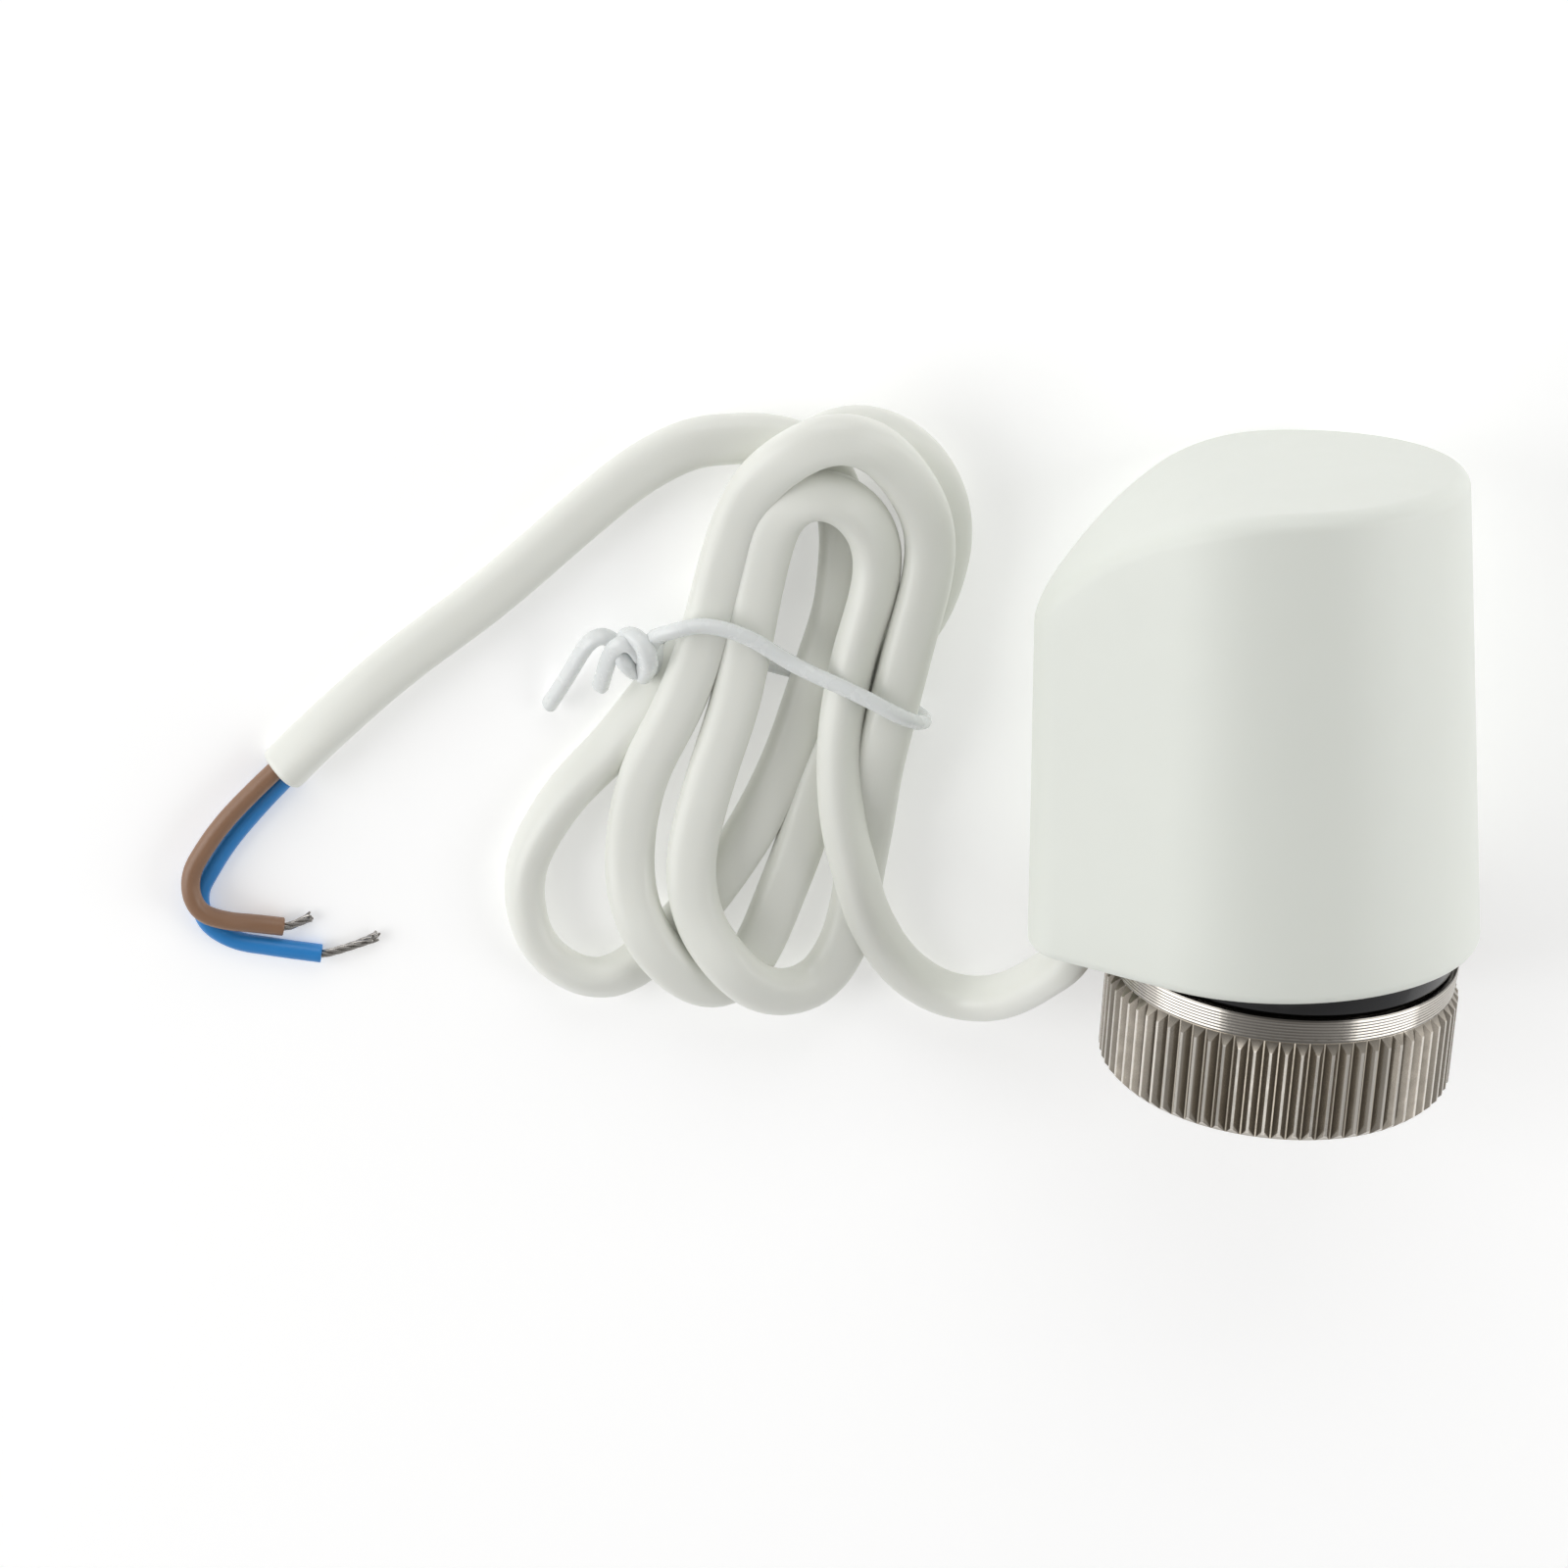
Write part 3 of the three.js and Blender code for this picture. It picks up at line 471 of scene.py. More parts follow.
def carried_widths(route, start=(0, 0, 1)):
    """A width direction carried along the route without twisting."""
    along = tangents(route)
    width = np.array(start, float)
    widths = []
    for t in along:
        width = width - np.dot(width, t) * t
        width = width / np.linalg.norm(width)
        widths.append(width)
    return np.array(widths)


ROUND_END = [(0.0, 0.35), (0.10, 0.10), (0.30, 0.0)]


def tube(route, widths, size, sides=24, square=2.0, start_end=ROUND_END, far_end=ROUND_END):
    """A tube of an oval section along a route. An end is a list of (inset, distance back) steps."""
    along = tangents(route)
    thins = np.cross(along, widths)
    angles = np.linspace(0, 2 * pi, sides, endpoint=False)
    power = 2 / square
    across = np.sign(np.cos(angles)) * np.abs(np.cos(angles)) ** power * size[0] / 2
    through = np.sign(np.sin(angles)) * np.abs(np.sin(angles)) ** power * size[1] / 2
    lengths = np.cumsum([0, *np.linalg.norm(np.diff(route[:, :3], axis=0), axis=1)])
    rings, own = [], []

    def add(at, inset):
        centre = [np.interp(at, lengths, route[:, k]) for k in range(3)]
        wide = np.array([np.interp(at, lengths, widths[:, k]) for k in range(3)])
        thin = np.array([np.interp(at, lengths, thins[:, k]) for k in range(3)])
        x = across * (1 - 2 * inset / size[0])
        y = through * (1 - 2 * inset / size[1])
        rings.append(np.array(centre) + np.outer(x, wide) + np.outer(y, thin))
        own.append(np.stack([x, y, np.full(sides, at)], axis=1))

    for inset, back in reversed(start_end):
        add(back, inset)
    first, last = start_end[0][1], lengths[-1] - far_end[0][1]
    for at in lengths:
        if first + 0.05 < at < last - 0.05:
            add(at, 0)
    for inset, back in far_end:
        add(lengths[-1] - back, inset)
    return rings, own


def tube_skin(*args, **settings):
    rings, own = tube(*args, **settings)
    return Skin().add_rings(rings, own=own)


# ---- Lead ----

# x, y, height and lean: 0 where the flat cord lies on its wide side, 90 on its edge.
LEAD_TO_HANK = [
    (-17.2, -11.6, 19.65, 90), (-17.3, -14.9, 19.7, 90), (-17.9, -17.7, 19.0, 90), (-19.1, -20.1, 16.9, 90),
    (-20.7, -22.6, 13.6, 88), (-22.7, -25.8, 9.3, 84), (-25.2, -28.4, 5.7, 78), (-28.2, -29.5, 3.4, 74),
    (-31.6, -28.9, 2.6, 70), (-34.3, -27.0, 2.5, 64),
]  # fmt: skip
FIRST_TURN = [
    (-36.3, -24.8, 2.6, 60), (-37.6, -22.3, 3.0, 58), (-39.0, -18.8, 4.0, 56), (-40.2, -12.9, 6.4, 55),
    (-41.2, -8.1, 6.8, 56), (-41.5, -1.2, 6.8, 56), (-41.0, 4.3, 6.8, 55), (-39.4, 11.3, 6.6, 52),
    (-37.6, 16.6, 6.6, 46), (-36.8, 21.0, 6.6, 38), (-37.6, 24.6, 7.2, 32), (-39.8, 27.4, 8.0, 28),
    (-42.4, 28.7, 8.6, 22), (-45.1, 28.1, 8.4, 16), (-46.9, 26.0, 7.6, 10), (-48.4, 21.4, 6.6, 6),
    (-49.7, 16.0, 6.6, 4), (-50.8, 10.8, 6.6, 4), (-52.1, 5.5, 6.6, 6), (-54.0, 0.1, 6.4, 8),
    (-55.8, -5.4, 6.4, 8), (-57.0, -9.9, 6.4, 8), (-57.3, -14.0, 6.6, 8), (-56.4, -18.6, 7.0, 10),
    (-53.9, -22.4, 8.0, 12), (-51.5, -25.4, 7.0, 14), (-48.9, -27.2, 5.4, 14), (-44.5, -27.2, 3.0, 14),
    (-41.6, -23.3, 2.4, 10), (-40.3, -19.1, 2.4, 8),
]  # fmt: skip
SECOND_TURN = [
    (-39.5, -14.5, 2.6, 8), (-38.5, -9.5, 3.2, 8), (-37.5, -2.7, 5.4, 8), (-36.4, 2.2, 6.6, 8),
    (-35.0, 7.5, 6.6, 8), (-33.3, 13.7, 6.6, 10), (-31.8, 19.0, 6.4, 12), (-31.5, 23.7, 6.4, 14),
    (-32.9, 27.9, 7.0, 16), (-35.8, 32.2, 8.2, 16), (-37.7, 34.0, 9.4, 14), (-40.3, 34.8, 10.2, 12),
    (-42.6, 34.6, 10.4, 10), (-44.4, 33.7, 10.2, 8), (-48.2, 30.7, 8.8, 6), (-49.7, 28.3, 7.6, 4),
    (-50.9, 25.9, 6.8, 4), (-52.7, 20.6, 6.4, 4), (-54.2, 15.3, 6.4, 4), (-56.0, 10.0, 6.4, 6),
    (-58.5, 4.3, 6.2, 8), (-61.3, -1.0, 5.4, 8), (-63.0, -6.6, 4.6, 6), (-63.7, -11.8, 4.6, 6),
    (-63.5, -16.1, 5.4, 8), (-62.0, -20.0, 6.4, 10), (-59.2, -24.0, 5.8, 12), (-55.5, -26.6, 4.6, 10),
    (-52.9, -25.7, 4.2, 8),
]  # fmt: skip
THIRD_TURN = [
    (-50.3, -22.3, 3.0, 6), (-48.1, -17.3, 2.4, 4), (-45.9, -11.9, 2.4, 4), (-44.1, -6.3, 2.4, 4),
    (-42.9, -2.8, 2.4, 4), (-40.9, 1.5, 2.4, 6), (-38.2, 5.7, 2.8, 8), (-35.1, 9.8, 2.6, 12),
    (-32.2, 13.4, 2.4, 16), (-30.4, 17.7, 2.5, 20), (-29.5, 22.0, 2.5, 22), (-30.2, 26.6, 2.8, 22),
    (-32.7, 31.0, 4.0, 20), (-36.0, 33.7, 5.4, 16), (-39.1, 34.6, 6.2, 12), (-42.1, 33.8, 6.4, 10),
    (-44.9, 31.5, 5.2, 8), (-47.2, 27.5, 3.4, 6), (-49.4, 22.6, 2.4, 6), (-52.1, 16.8, 2.4, 8),
    (-55.7, 11.1, 2.5, 14), (-59.0, 7.4, 2.5, 24), (-62.5, 3.1, 2.5, 36), (-65.6, -0.5, 2.5, 48),
    (-69.3, -4.0, 2.6, 58), (-72.4, -8.2, 2.6, 66), (-74.7, -12.7, 2.6, 70), (-75.0, -17.4, 2.6, 70),
    (-74.0, -21.7, 2.6, 68), (-70.7, -25.1, 2.6, 58), (-66.8, -26.2, 2.5, 44), (-62.8, -24.0, 2.4, 28),
    (-59.6, -21.1, 2.4, 16), (-56.4, -17.6, 2.4, 8), (-53.6, -13.9, 2.4, 4), (-50.9, -9.8, 2.4, 4),
    (-48.4, -5.3, 2.4, 4), (-46.2, -0.4, 2.4, 4), (-44.4, 4.7, 2.6, 4), (-42.5, 10.0, 2.5, 4),
    (-41.0, 14.4, 2.4, 6), (-40.4, 18.9, 2.4, 8), (-40.1, 23.3, 2.4, 8), (-41.2, 28.1, 2.4, 10),
    (-42.9, 30.9, 2.4, 10), (-45.2, 32.2, 2.4, 8), (-48.5, 32.9, 2.4, 6),
]  # fmt: skip
LEAD_FROM_HANK = [
    (-52.8, 32.8, 2.4, 4), (-54.3, 32.9, 2.4, 4), (-57.0, 32.0, 2.4, 2), (-61.3, 29.7, 2.4, 0),
    (-65.6, 26.4, 2.4, 0), (-70.1, 22.7, 2.4, 0), (-74.5, 19.0, 2.4, 0), (-79.0, 15.5, 2.4, 4),
    (-83.3, 12.5, 2.4, 8), (-88.0, 9.0, 2.4, 14), (-93.0, 4.8, 2.4, 22), (-96.5, 1.7, 2.4, 30),
    (-99.7, -1.4, 2.4, 36),
]  # fmt: skip
SHEATH_CUT = [(0.0, 0.55), (0.06, 0.22), (0.22, 0.04), (0.42, 0.0), (0.72, 0.02), (0.86, 0.3), (0.9, 2.2)]

BROWN_CORE = [
    (-100.2, -1.1, 2.9), (-102.6, -3.3, 2.9), (-105.8, -6.5, 2.9), (-108.1, -9.4, 2.9), (-109.8, -12.3, 2.9),
    (-110.0, -14.8, 3.0), (-109.1, -16.7, 3.0), (-106.7, -17.9, 2.6), (-103.9, -18.7, 1.7), (-100.8, -19.4, 1.2),
]  # fmt: skip
BLUE_CORE = [
    (-100.0, -3.2, 1.3), (-102.3, -5.6, 1.0), (-105.7, -9.4, 1.0), (-108.0, -12.7, 1.0), (-109.4, -15.4, 1.0),
    (-108.9, -18.6, 1.0), (-106.3, -20.7, 1.0), (-102.3, -21.7, 1.0), (-97.0, -22.7, 1.0),
]  # fmt: skip
CORE_CUT = [(0.0, 0.12), (0.05, 0.02), (0.12, 0.0), (0.44, 0.0), (0.5, 0.15), (0.52, 0.7)]
BROWN_STRANDS = [(-101.3, -19.3, 1.2), (-100.5, -19.4, 1.2), (-99.1, -19.0, 1.0), (-97.7, -18.5, 0.8)]
BLUE_STRANDS = [(-97.5, -22.7, 1.0), (-96.7, -22.7, 1.0), (-93.8, -22.0, 0.9), (-90.7, -20.8, 1.0)]


def strand_bundle(points, wires, wire_d, lay, fray):
    """Fine wires laid round one another, which part at the far end."""
    step = 0.35
    route = smooth_route(points, step)
    widths = carried_widths(route)
    thins = np.cross(tangents(route), widths)
    length = (len(route) - 1) * step
    skin = Skin()
    for k in range(wires):
        base = 0.0 if k == 0 else wire_d * 1.02
        spread = rng.uniform(0.2, 1.0) * fray
        shorter = rng.uniform(0.0, 0.12)
        at = np.linspace(0, 1 - shorter, len(route))
        turn = 2 * pi * (k / (wires - 1) + at * length / lay)
        parting = np.clip((at - 0.55) / 0.45, 0, 1) ** 2
        reach = base + spread * parting
        index = at * (len(route) - 1)
        centre, wide, thin = (
            np.stack([np.interp(index, range(len(route)), column) for column in source[:, :3].T], axis=1)
            for source in (route, widths, thins)
        )
        wire = centre + (reach * np.cos(turn))[:, None] * wide + (reach * np.sin(turn))[:, None] * thin
        wire[:, 2] = np.maximum(wire[:, 2], wire_d / 2 + 0.02)
        ends = [(0.0, 0.06), (0.05, 0.0)]
        skin.add_rings(tube(wire, carried_widths(wire), (wire_d, wire_d), 8, 2, ends, ends)[0])
    return skin


# The tie: a flat strip with a wire in it. It goes over the hank and back under it, and its ends
# wind round each other in a knot at the hank's left. The wrap is the strip's turn round the knot.
TIE_SIZE = (1.8, 1.45)
TIE_WRAP_SIZE = (2.3, 1.9)
TIE_SHORT_END = [
    (-66.0, 6.7, 3.0), (-65.5, 8.4, 4.0), (-65.0, 10.2, 5.0), (-64.3, 12.0, 6.2),
    (-63.4, 13.1, 7.0), (-62.3, 12.9, 7.0), (-61.6, 11.5, 6.2), (-61.4, 10.1, 5.2),
    (-60.9, 10.5, 5.0), (-60.6, 12.1, 6.2), (-59.9, 13.6, 7.4),
]  # fmt: skip
TIE_OVER = [
    (-58.0, 14.7, 9.2), (-55.4, 15.4, 9.5), (-52.6, 14.8, 9.4), (-50.2, 13.7, 9.2),
    (-47.8, 11.9, 8.7), (-45.3, 10.2, 8.7), (-42.9, 9.1, 9.2), (-40.4, 7.9, 9.5), (-37.9, 6.5, 9.5),
    (-35.5, 4.9, 9.2), (-33.6, 3.5, 7.6), (-32.6, 2.5, 5.2), (-32.6, 2.2, 2.8), (-33.6, 2.5, 1.1),
]  # fmt: skip
TIE_UNDER = [
    (-36.0, 3.7, 1.0), (-43.9, 6.7, 1.0), (-53.8, 9.9, 1.0), (-59.3, 11.5, 1.1), (-60.6, 12.0, 1.8),
]  # fmt: skip
TIE_LONG_END = [
    (-59.6, 9.9, 3.4), (-60.6, 8.8, 3.8), (-61.8, 8.6, 4.4), (-62.8, 9.7, 5.6), (-63.4, 11.1, 6.4),
    (-63.7, 11.9, 5.2), (-64.4, 12.8, 5.0), (-65.5, 13.6, 5.8), (-66.6, 12.9, 5.6),
    (-67.7, 11.1, 4.6), (-69.0, 8.7, 3.4), (-70.3, 6.4, 2.2), (-71.6, 4.3, 1.2),
]  # fmt: skip

TIE_WRAP = [
    (-63.1, 12.8, 5.4), (-62.1, 13.3, 6.6), (-61.2, 12.8, 7.4), (-60.8, 11.5, 7.2), (-60.9, 10.0, 6.0),
    (-61.6, 8.5, 4.4),
]  # fmt: skip


def make_tie():
    points = [*TIE_SHORT_END, *TIE_OVER, *TIE_UNDER, *TIE_LONG_END]
    route = smooth_route(points, 0.4, passes=14)
    widths = carried_widths(route, (0.6, -0.2, 0.4))
    skin = tube_skin(route, widths, TIE_SIZE, 20, 2.6)
    wrap = smooth_route(TIE_WRAP, 0.4)
    skin.add_rings(tube(wrap, carried_widths(wrap, (0.6, -0.2, 0.4)), TIE_WRAP_SIZE, 20, 2.6)[0])
    return piece("twist_tie", skin, "tie_white", "base", replaces=["wire_tie"])


def make_lead():
    points = [*LEAD_TO_HANK, *FIRST_TURN, *SECOND_TURN, *THIRD_TURN, *LEAD_FROM_HANK]
    route = smooth_route(points, 0.8, passes=10)
    skin = tube_skin(route, level_widths(route), LEAD, 32, 2.5, far_end=SHEATH_CUT)
    lead = piece(
        "lead", skin, "lead_sheath", "base", replaces=["lead_exit", "lead_hank", "lead_end"], sharp=60
    )
    for pole, points, wires in (("brown", BROWN_CORE, BROWN_STRANDS), ("blue", BLUE_CORE, BLUE_STRANDS)):
        inside = np.array(points[0]) + (np.array(points[0]) - np.array(points[1])) * 0.5
        core = smooth_route([tuple(inside), *points], 0.5, passes=2)
        skin = tube_skin(core, carried_widths(core), (CORE_D, CORE_D), 20, 2, far_end=CORE_CUT)
        piece(f"{pole}_insulation", skin, f"core_{pole}", "base", replaces=[f"{pole}_core"])
        bundle = strand_bundle(wires, 7, 0.3, 7.0, 0.35)
        piece(f"{pole}_wires", bundle, "tinned_copper", "base", replaces=[f"{pole}_strands"])
    make_tie()  # fmt: skip


make_lead()

# ---- Housing ----

FLANK = acos((HOUSING_R - TAIL_R) / TAIL_X)
MAIN_STEPS = 120
TAIL_STEPS = 40
FLANK_STEPS = 12


def teardrop():
    """Points of the rim's outline with their outward normals, once round."""
    main_end = pi - FLANK
    main = np.linspace(-main_end, main_end, MAIN_STEPS + 1)
    tail = np.linspace(main_end, main_end + 2 * FLANK, TAIL_STEPS + 1)
    arcs = [(0.0, HOUSING_R, main), (-TAIL_X, TAIL_R, tail)]
    points, normals = [], []
    for (centre, radius, angles), (next_centre, next_radius, _) in zip(arcs, arcs[::-1]):
        normal = np.stack([np.cos(angles), np.sin(angles)], axis=1)
        points.extend(normal * radius + [centre, 0])
        normals.extend(normal)
        start, end = points[-1], normal[-1] * next_radius + [next_centre, 0]
        for k in range(1, FLANK_STEPS):
            points.append(start + (end - start) * k / FLANK_STEPS)
            normals.append(normal[-1])
    points, normals = np.array(points), np.array(normals)
    keep = [i for i in range(len(points)) if np.linalg.norm(points[i] - points[i - 1]) > 1e-6]
    return points[keep], normals[keep]


OUTLINE, OUTWARD = teardrop()


def top_height(x):
    return HOUSING_H - TOP_FALL * np.maximum(0, TOP_FLAT_X - x) ** TOP_FALL_POWER


def teardrop_ring(inset, height):
    """The outline moved in by inset(z) and lifted to height(x)."""
    lifted = height(OUTLINE[:, 0])
    moved = OUTLINE - OUTWARD * inset(lifted)[:, None]
    return np.column_stack([moved, height(moved[:, 0])])


def shrunk(ring, scale, height):
    x, y = ring[:, 0] * scale, ring[:, 1] * scale
    return np.column_stack([x, y, height(x)])


def drafted(extra):
    return lambda z: z * tan(DRAFT) + extra


def make_housing():
    """The shell as rings.

    They run from the middle of the top's underside down the inside, out round the rim, and back up.
    """
    inner_edge = TOP_EDGE_R - SKIRT_WALL
    rings = []

    def under_top(x):
        return top_height(x) - TOP_WALL

    last = teardrop_ring(drafted(SKIRT_WALL + inner_edge), under_top)
    rings.extend(shrunk(last, scale, under_top) for scale in np.linspace(0.04, 0.96, 12))
    for angle in np.linspace(pi / 2, 0, 7):
        inset = drafted(SKIRT_WALL + inner_edge * (1 - cos(angle)))
        rings.append(teardrop_ring(inset, lambda x, a=angle: under_top(x) - inner_edge * (1 - sin(a))))
    for height in (36, 24, 12, 4, 0.35):
        rings.append(
            teardrop_ring(
                drafted(SKIRT_WALL), lambda x, h=height: np.minimum(under_top(x) - inner_edge, h)
            )
        )
    rings.append(teardrop_ring(lambda z: z * 0 + SKIRT_WALL - 0.25, lambda x: x * 0))
    for angle in np.linspace(0, pi / 2, 9):
        height = RIM_R * (1 - cos(angle))
        rings.append(teardrop_ring(drafted(RIM_R * (1 - sin(angle))), lambda x, h=height: x * 0 + h))
    for share in (0.1, 0.3, 0.5, 0.7, 0.9):
        rings.append(
            teardrop_ring(drafted(0), lambda x, s=share: RIM_R + (top_height(x) - TOP_EDGE_R - RIM_R) * s)
        )
    for angle in np.linspace(0, pi / 2, 15):
        inset = drafted(TOP_EDGE_R * (1 - cos(angle)))
        rings.append(teardrop_ring(inset, lambda x, a=angle: top_height(x) - TOP_EDGE_R * (1 - sin(a))))
    last = rings[-1]
    rings.extend(shrunk(last, scale, top_height) for scale in np.linspace(0.97, 0.03, 26))
    piece("housing_shell", Skin().add_rings(rings), "housing_white", "base", HEAD, ["housing_cover"], 40)


make_housing()

# ---- Union nut ----

CREST = 0.17  # share of a tooth's pitch that is flat crest
ROOT = 0.08
TOP_CHAMFER = 1.0
MOUTH_CHAMFER = 0.8
TURNED_LINE = 0.06


def make_nut():
    pitch = 2 * pi / NUT_TEETH
    steps = [-CREST / 2, CREST / 2, 0.5 - ROOT / 2, 0.5 + ROOT / 2]
    angles = np.array([(tooth + s) * pitch for tooth in range(NUT_TEETH) for s in steps])
    on_crest = np.array([k < 2 for _ in range(NUT_TEETH) for k in range(4)])
    rows = []  # each a radius for every angle, and a height

    def add(radius, z):
        rows.append((np.broadcast_to(np.asarray(radius, float), angles.shape), z))

    teeth = np.where(on_crest, NUT_R, NUT_GROOVE_R)
    add(15.9, NUT_MOUTH_Z)
    add(NUT_GROOVE_R, NUT_MOUTH_Z)
    mouth_facets = len(rows) - 1
    add(teeth, NUT_MOUTH_Z + MOUTH_CHAMFER)
    add(teeth, KNURL_TOP_Z - TOP_CHAMFER)
    top_facets = len(rows) - 1
    add(NUT_GROOVE_R, KNURL_TOP_Z)
    add(17.18, KNURL_TOP_Z + 0.12)
    add(17.55, KNURL_TOP_Z + 0.2)
    band = np.linspace(KNURL_TOP_Z + 0.2, -0.2, 2 * BAND_LINES + 1)
    for k, z in enumerate(band[1:]):
        share = (z - band[0]) / (band[-1] - band[0])
        add(17.58 + 0.2 * share - (TURNED_LINE if k % 2 else 0), z)
    add(17.66, 0.0)
    add(16.28, 0.02)
    add(16.2, 0.15)
    for z in (1.2, 2.6, 4.0):
        add(16.2, z)
    add(16.05, 4.2)
    add(14.95, 4.2)
    add(14.8, 4.05)
    for z in (3.0, 2.0, 1.15):
        add(14.8, z)
    add(14.65, 1.0)
    add(13.35, 1.0)
    add(13.2, 0.85)
    add(13.2, -1.15)
    add(13.35, -1.3)
    add(15.45, -1.3)
    add(15.6, -1.45)
    for z in (-3.0, -4.5, -5.85):
        add(15.6, z)
    add(15.4, -6.0)
    thread_top, thread_end = -6.1, NUT_MOUTH_Z + 0.9
    for z in np.linspace(thread_top, thread_end, 76):
        phase = (z / THREAD_PITCH - angles / (2 * pi)) % 1
        flank = np.clip(np.abs(phase - 0.5) * 2.6 - 0.32, 0, 1)  # 0 on the crest, 1 in the root
        depth = THREAD_MAJOR_R - THREAD_MINOR_R
        fade = np.clip((thread_top - z) / 1.0, 0, 1)
        add(THREAD_MINOR_R + depth * (flank * fade + (1 - fade) * 0.6), z)
    add(15.1, NUT_MOUTH_Z + 0.85)
    add(15.75, NUT_MOUTH_Z + 0.12)

    count = len(angles)
    points = np.array([
        (radius[i] * cos(angles[i]), radius[i] * sin(angles[i]), z) for radius, z in rows for i in range(count)
    ])
    faces = []
    for r in range(len(rows)):
        a, b = r * count, (r + 1) % len(rows) * count
        for i in range(count):
            k = (i + 1) % count
            quad = (a + i, a + k, b + k, b + i)
            rising = i % 4 == 1  # from a crest to a root
            if r == mouth_facets and i % 2:
                cut_from_low = not rising
            elif r == top_facets and i % 2:
                cut_from_low = rising
            else:
                faces.append(quad)
                continue
            if cut_from_low:
                faces.extend([(quad[0], quad[1], quad[2]), (quad[0], quad[2], quad[3])])
            else:
                faces.extend([(quad[0], quad[1], quad[3]), (quad[1], quad[2], quad[3])])
    skin = Skin().add(points, faces)
    piece("nut_body", skin, "nut_nickel", "nut", NUT, ["union_nut"], 14)
    ring = turned([(16.5, 0.3), (17.3, 0.3), (17.3, 4.2), (16.5, 4.2)], 144, 0.3)
    piece("slip_ring_fine", ring, "black_plastic", "slip_ring", NUT, ["nut_slip_ring"])


make_nut()

# ---- Collar, plunger and bush ----


def make_base():
    skin = turned([
        (9.9, -8.0), (11.7, -8.0), (12.3, -7.4), (12.3, -6.9), (11.3, -6.9), (11.3, -5.3), (12.3, -5.3),
        (12.3, BASE_Z), (13.3, BASE_Z), (13.3, BASE_Z + 0.4), (9.9, BASE_Z + 0.4),
    ], 128, 0.12)  # fmt: skip
    inset = SKIRT_WALL + GAP + BASE_TOP * tan(DRAFT)
    edge = OUTLINE - OUTWARD * inset
    bore = edge / np.linalg.norm(edge, axis=1)[:, None] * COLLAR_BORE_R
    corners = ((edge, BASE_TOP), (bore, BASE_TOP), (bore, BASE_Z), (edge, BASE_Z))
    rings = [np.column_stack([ring, np.full(len(ring), z)]) for ring, z in corners]
    skin.add_rings(rings, joined=True)
    piece("collar_base", skin, "base_grey", "base", HEAD, ["base_plate"])


make_base()

WASHER = [(12.6, -5.0), (14.0, -5.0), (14.0, -4.2), (12.6, -4.2)]
GUIDE = [(4.6, -7.8), (5.4, -7.8), (6.0, -7.2), (8.8, -7.2), (9.6, -7.8), (9.6, -5.2), (4.6, -5.2)]
SEAL = [(4.8, -4.9), (6.8, -4.9), (6.8, -2.9), (4.8, -2.9)]
piece("washer_fine", turned(WASHER, 128, 0.2), "black_plastic", "washer", HEAD, ["thrust_washer"])
piece("guide_fine", turned(GUIDE, 128, 0.15), "inner_white", "base", HEAD, ["plunger_guide"])
piece("seal_fine", turned(SEAL, 128, 0.9), "seal_rubber", "base", HEAD, ["plunger_seal"])


def make_tip():
    """The steel tip: a dished disc, turned, with a fine centre mark."""
    outline = [
        (0.02, -8.3), (0.35, -8.3), (0.55, -8.5), (3.6, -8.5), (4.1, -8.0), (4.1, -7.3), (1.3, -7.3),
        (1.3, -5.0), (0.02, -5.0),
    ]  # fmt: skip
    piece("tip_fine", turned(outline, 96, 0.08), "spring_steel", "plunger", HEAD, ["plunger_tip"])


make_tip()


def make_snap_ring():
    """A wire ring in the collar's groove, open at one side."""
    opening = radians(20)
    angles = np.linspace(opening / 2, 2 * pi - opening / 2, 120)
    outline = rounded([(11.6, -6.6), (14.0, -6.6), (14.0, -5.6), (11.6, -5.6)], 0.2)
    rings = [[(r * cos(a), r * sin(a), z) for r, z in outline] for a in angles]
    piece("snap_ring_fine", Skin().add_rings(rings), "spring_steel", "base", HEAD, ["snap_ring"])


make_snap_ring()


def make_spring():
    turns, radius, wire = 4.5, 10.9, 0.75
    low, high = BASE_TOP + GAP + wire, 24.0 - 1.8 - GAP - wire
    count = 400
    angles = np.linspace(0, 2 * pi * turns, count)
    heights = np.linspace(low, high, count)
    points = np.stack([radius * np.cos(angles), radius * np.sin(angles), heights], axis=1)
    skin = tube_skin(points, carried_widths(points), (2 * wire, 2 * wire), 14)
    made = piece("spring_fine", skin, "spring_steel", "base", HEAD, ["return_spring"])
    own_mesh(made)


make_spring()


def make_bush():
    bore = ((LEAD[1] + 0.5) / 2, (LEAD[0] + 0.5) / 2)
    outer = (2.9, 3.5)
    count = 64
    angles = np.linspace(0, 2 * pi, count, endpoint=False)
    profile = [(1, 5.85), (0.8, 5.6), (0.2, 5.6), (0, 5.85), (0, 9.2), (1, 9.2)]
    rings = []
    for share, z in profile:
        a = bore[0] + (outer[0] - bore[0]) * share
        b = bore[1] + (outer[1] - bore[1]) * share
        rings.append(np.stack([a * np.cos(angles) - BUSH_X, b * np.sin(angles), np.full(count, z)], axis=1))
    skin = Skin().add_rings(rings, joined=True)
    piece("bush_fine", skin, "inner_white", "base", HEAD, ["cable_bush"])


make_bush()

# ---- Finishes of the CAD nodes that stay ----

for entry in frame["record"]["subparts"]:
    held = frame["nodes"][entry["node"]]
    held.data.materials.clear()
    held.data.materials.append(MATERIALS[entry["material_slot"]])

# ---- Floor, light and sky ----


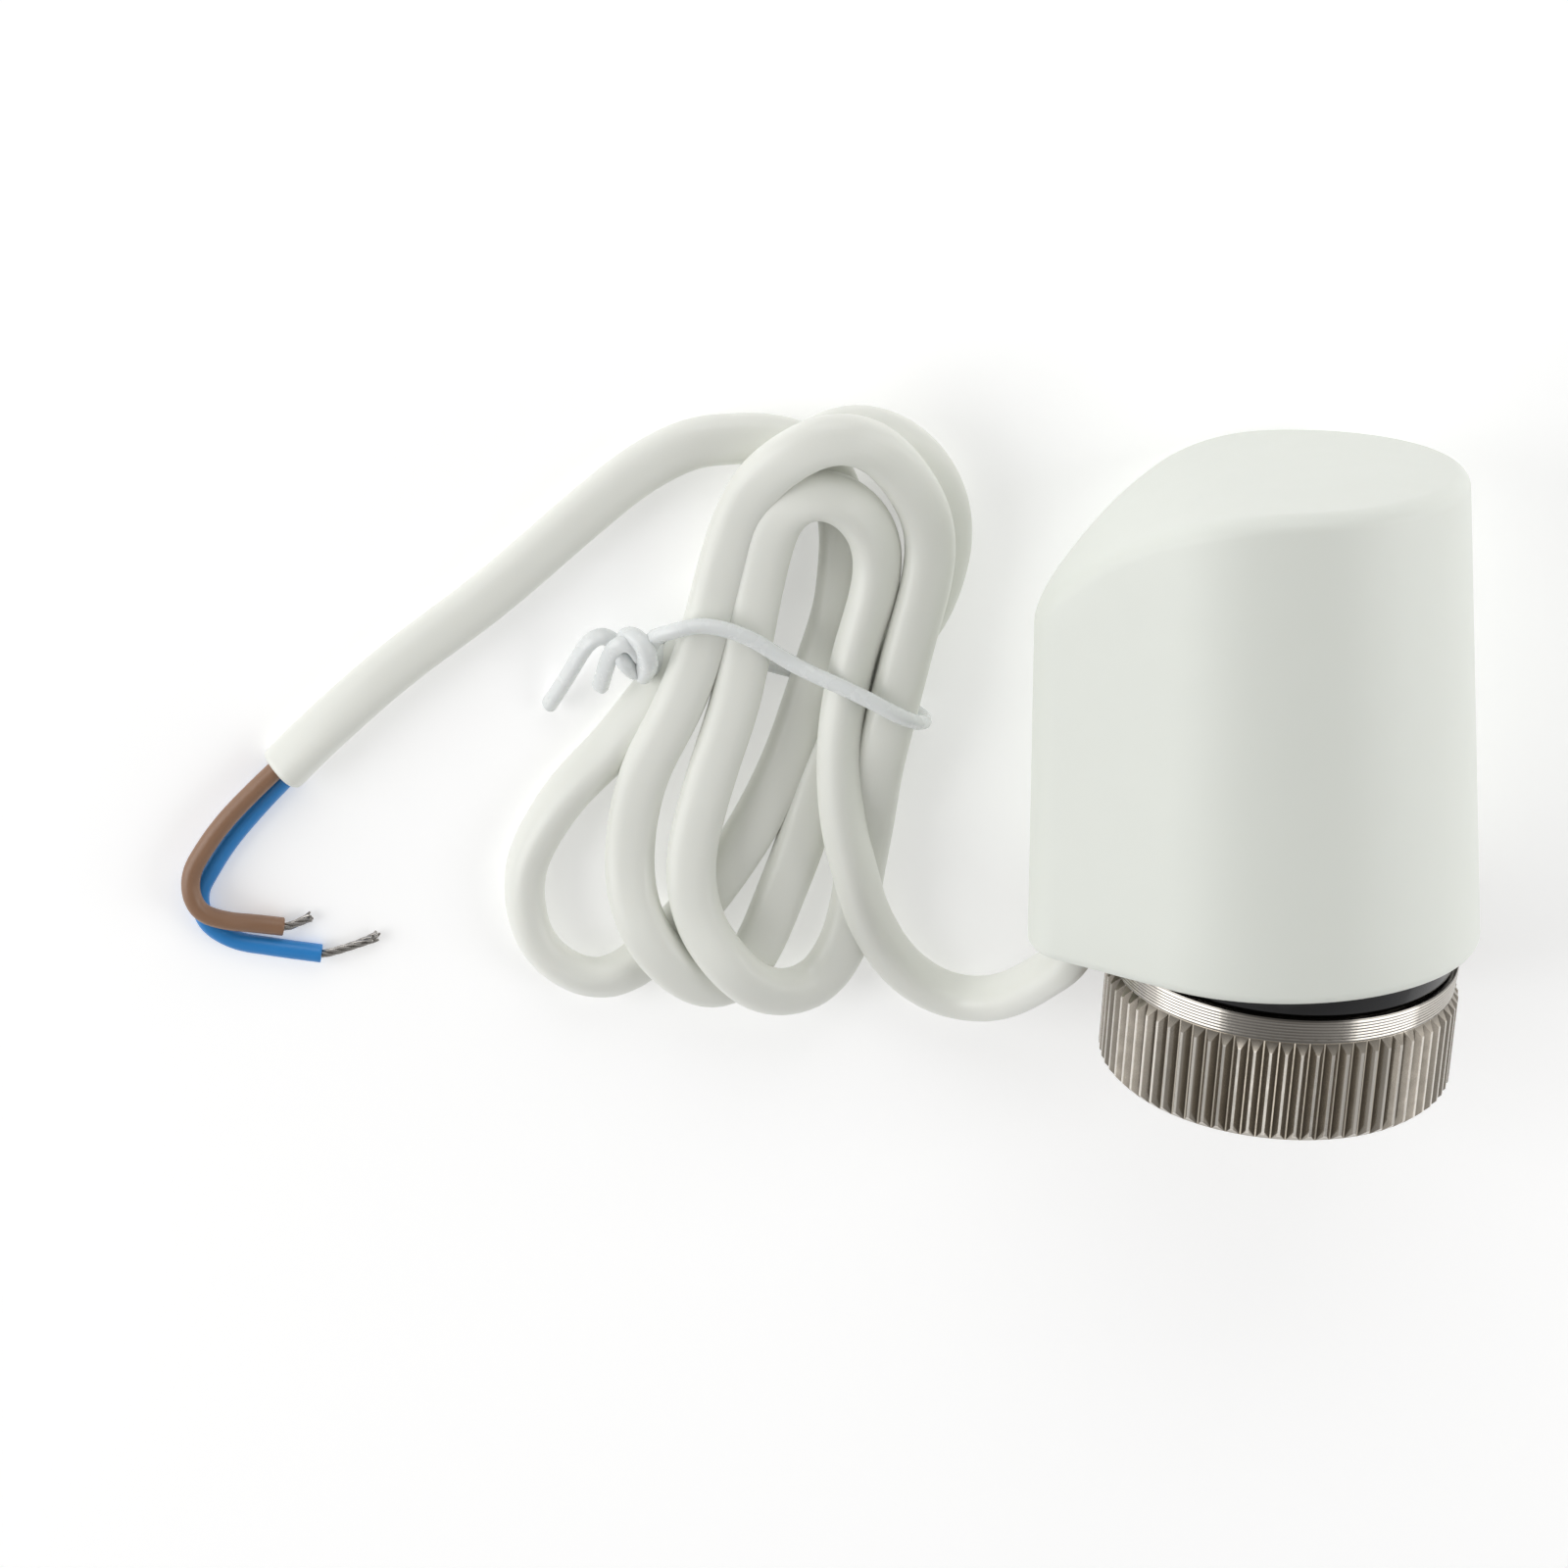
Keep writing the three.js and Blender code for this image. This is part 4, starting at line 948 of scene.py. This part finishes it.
def make_floor():
    bpy.ops.mesh.primitive_plane_add(size=6, location=(0, 0, 0))
    floor = bpy.context.object
    floor.name = "floor"
    made = bpy.data.materials.new("floor_pale")
    made.use_nodes = True
    shader = made.node_tree.nodes["Principled BSDF"]
    shader.inputs["Base Color"].default_value = (0.93, 0.93, 0.93, 1)
    shader.inputs["Roughness"].default_value = 0.9
    shader.inputs["Specular IOR Level"].default_value = 0.1
    shader.inputs["Emission Color"].default_value = (1, 1, 1, 1)
    shader.inputs["Emission Strength"].default_value = 0.27
    floor.data.materials.append(made)


def make_light(name, place_m, target, size, watts, colour=(1, 1, 1)):
    data = bpy.data.lights.new(name, "AREA")
    data.shape = "RECTANGLE"
    data.size, data.size_y = size
    data.energy = watts
    data.color = colour
    light = bpy.data.objects.new(name, data)
    light.location = place_m
    light.rotation_euler = (Vector(target) - Vector(place_m)).to_track_quat("-Z", "Y").to_euler()
    scene.collection.objects.link(light)


def make_sky():
    """A studio tent: bright round the horizon, dimmer overhead."""
    world = bpy.data.worlds.new("studio")
    world.use_nodes = True
    tree = world.node_tree
    background = tree.nodes["Background"]
    split = node(tree, "ShaderNodeSeparateXYZ")
    link(tree, node(tree, "ShaderNodeTexCoord"), "Generated", split, "Vector")
    ramp = node(tree, "ShaderNodeValToRGB")
    stops = ramp.color_ramp.elements
    stops[0].position, stops[0].color = 0.0, (1.0, 1.0, 1.0, 1)
    stops[1].position, stops[1].color = 1.0, (0.30, 0.29, 0.28, 1)
    middle = stops.new(0.55)
    middle.color = (0.75, 0.75, 0.75, 1)
    link(tree, split, "Z", ramp, "Fac")
    link(tree, ramp, "Color", background, "Color")
    background.inputs["Strength"].default_value = 0.62
    scene.world = world


make_floor()
middle = Vector((-0.04, 0.0, 0.02))
make_light("left_box", (-0.75, 0.05, 0.35), middle, (0.6, 0.7), 3.2)
make_light("right_box", (0.72, 0.0, 0.38), middle, (0.5, 0.7), 2.4)
make_light("back_box", (0.0, 0.8, 0.45), middle, (0.8, 0.5), 1.6)
make_light("crest_strip", (0.0, -0.36, 0.65), middle, (0.9, 0.05), 0.18)
scene.view_settings.view_transform = "Standard"
make_sky()
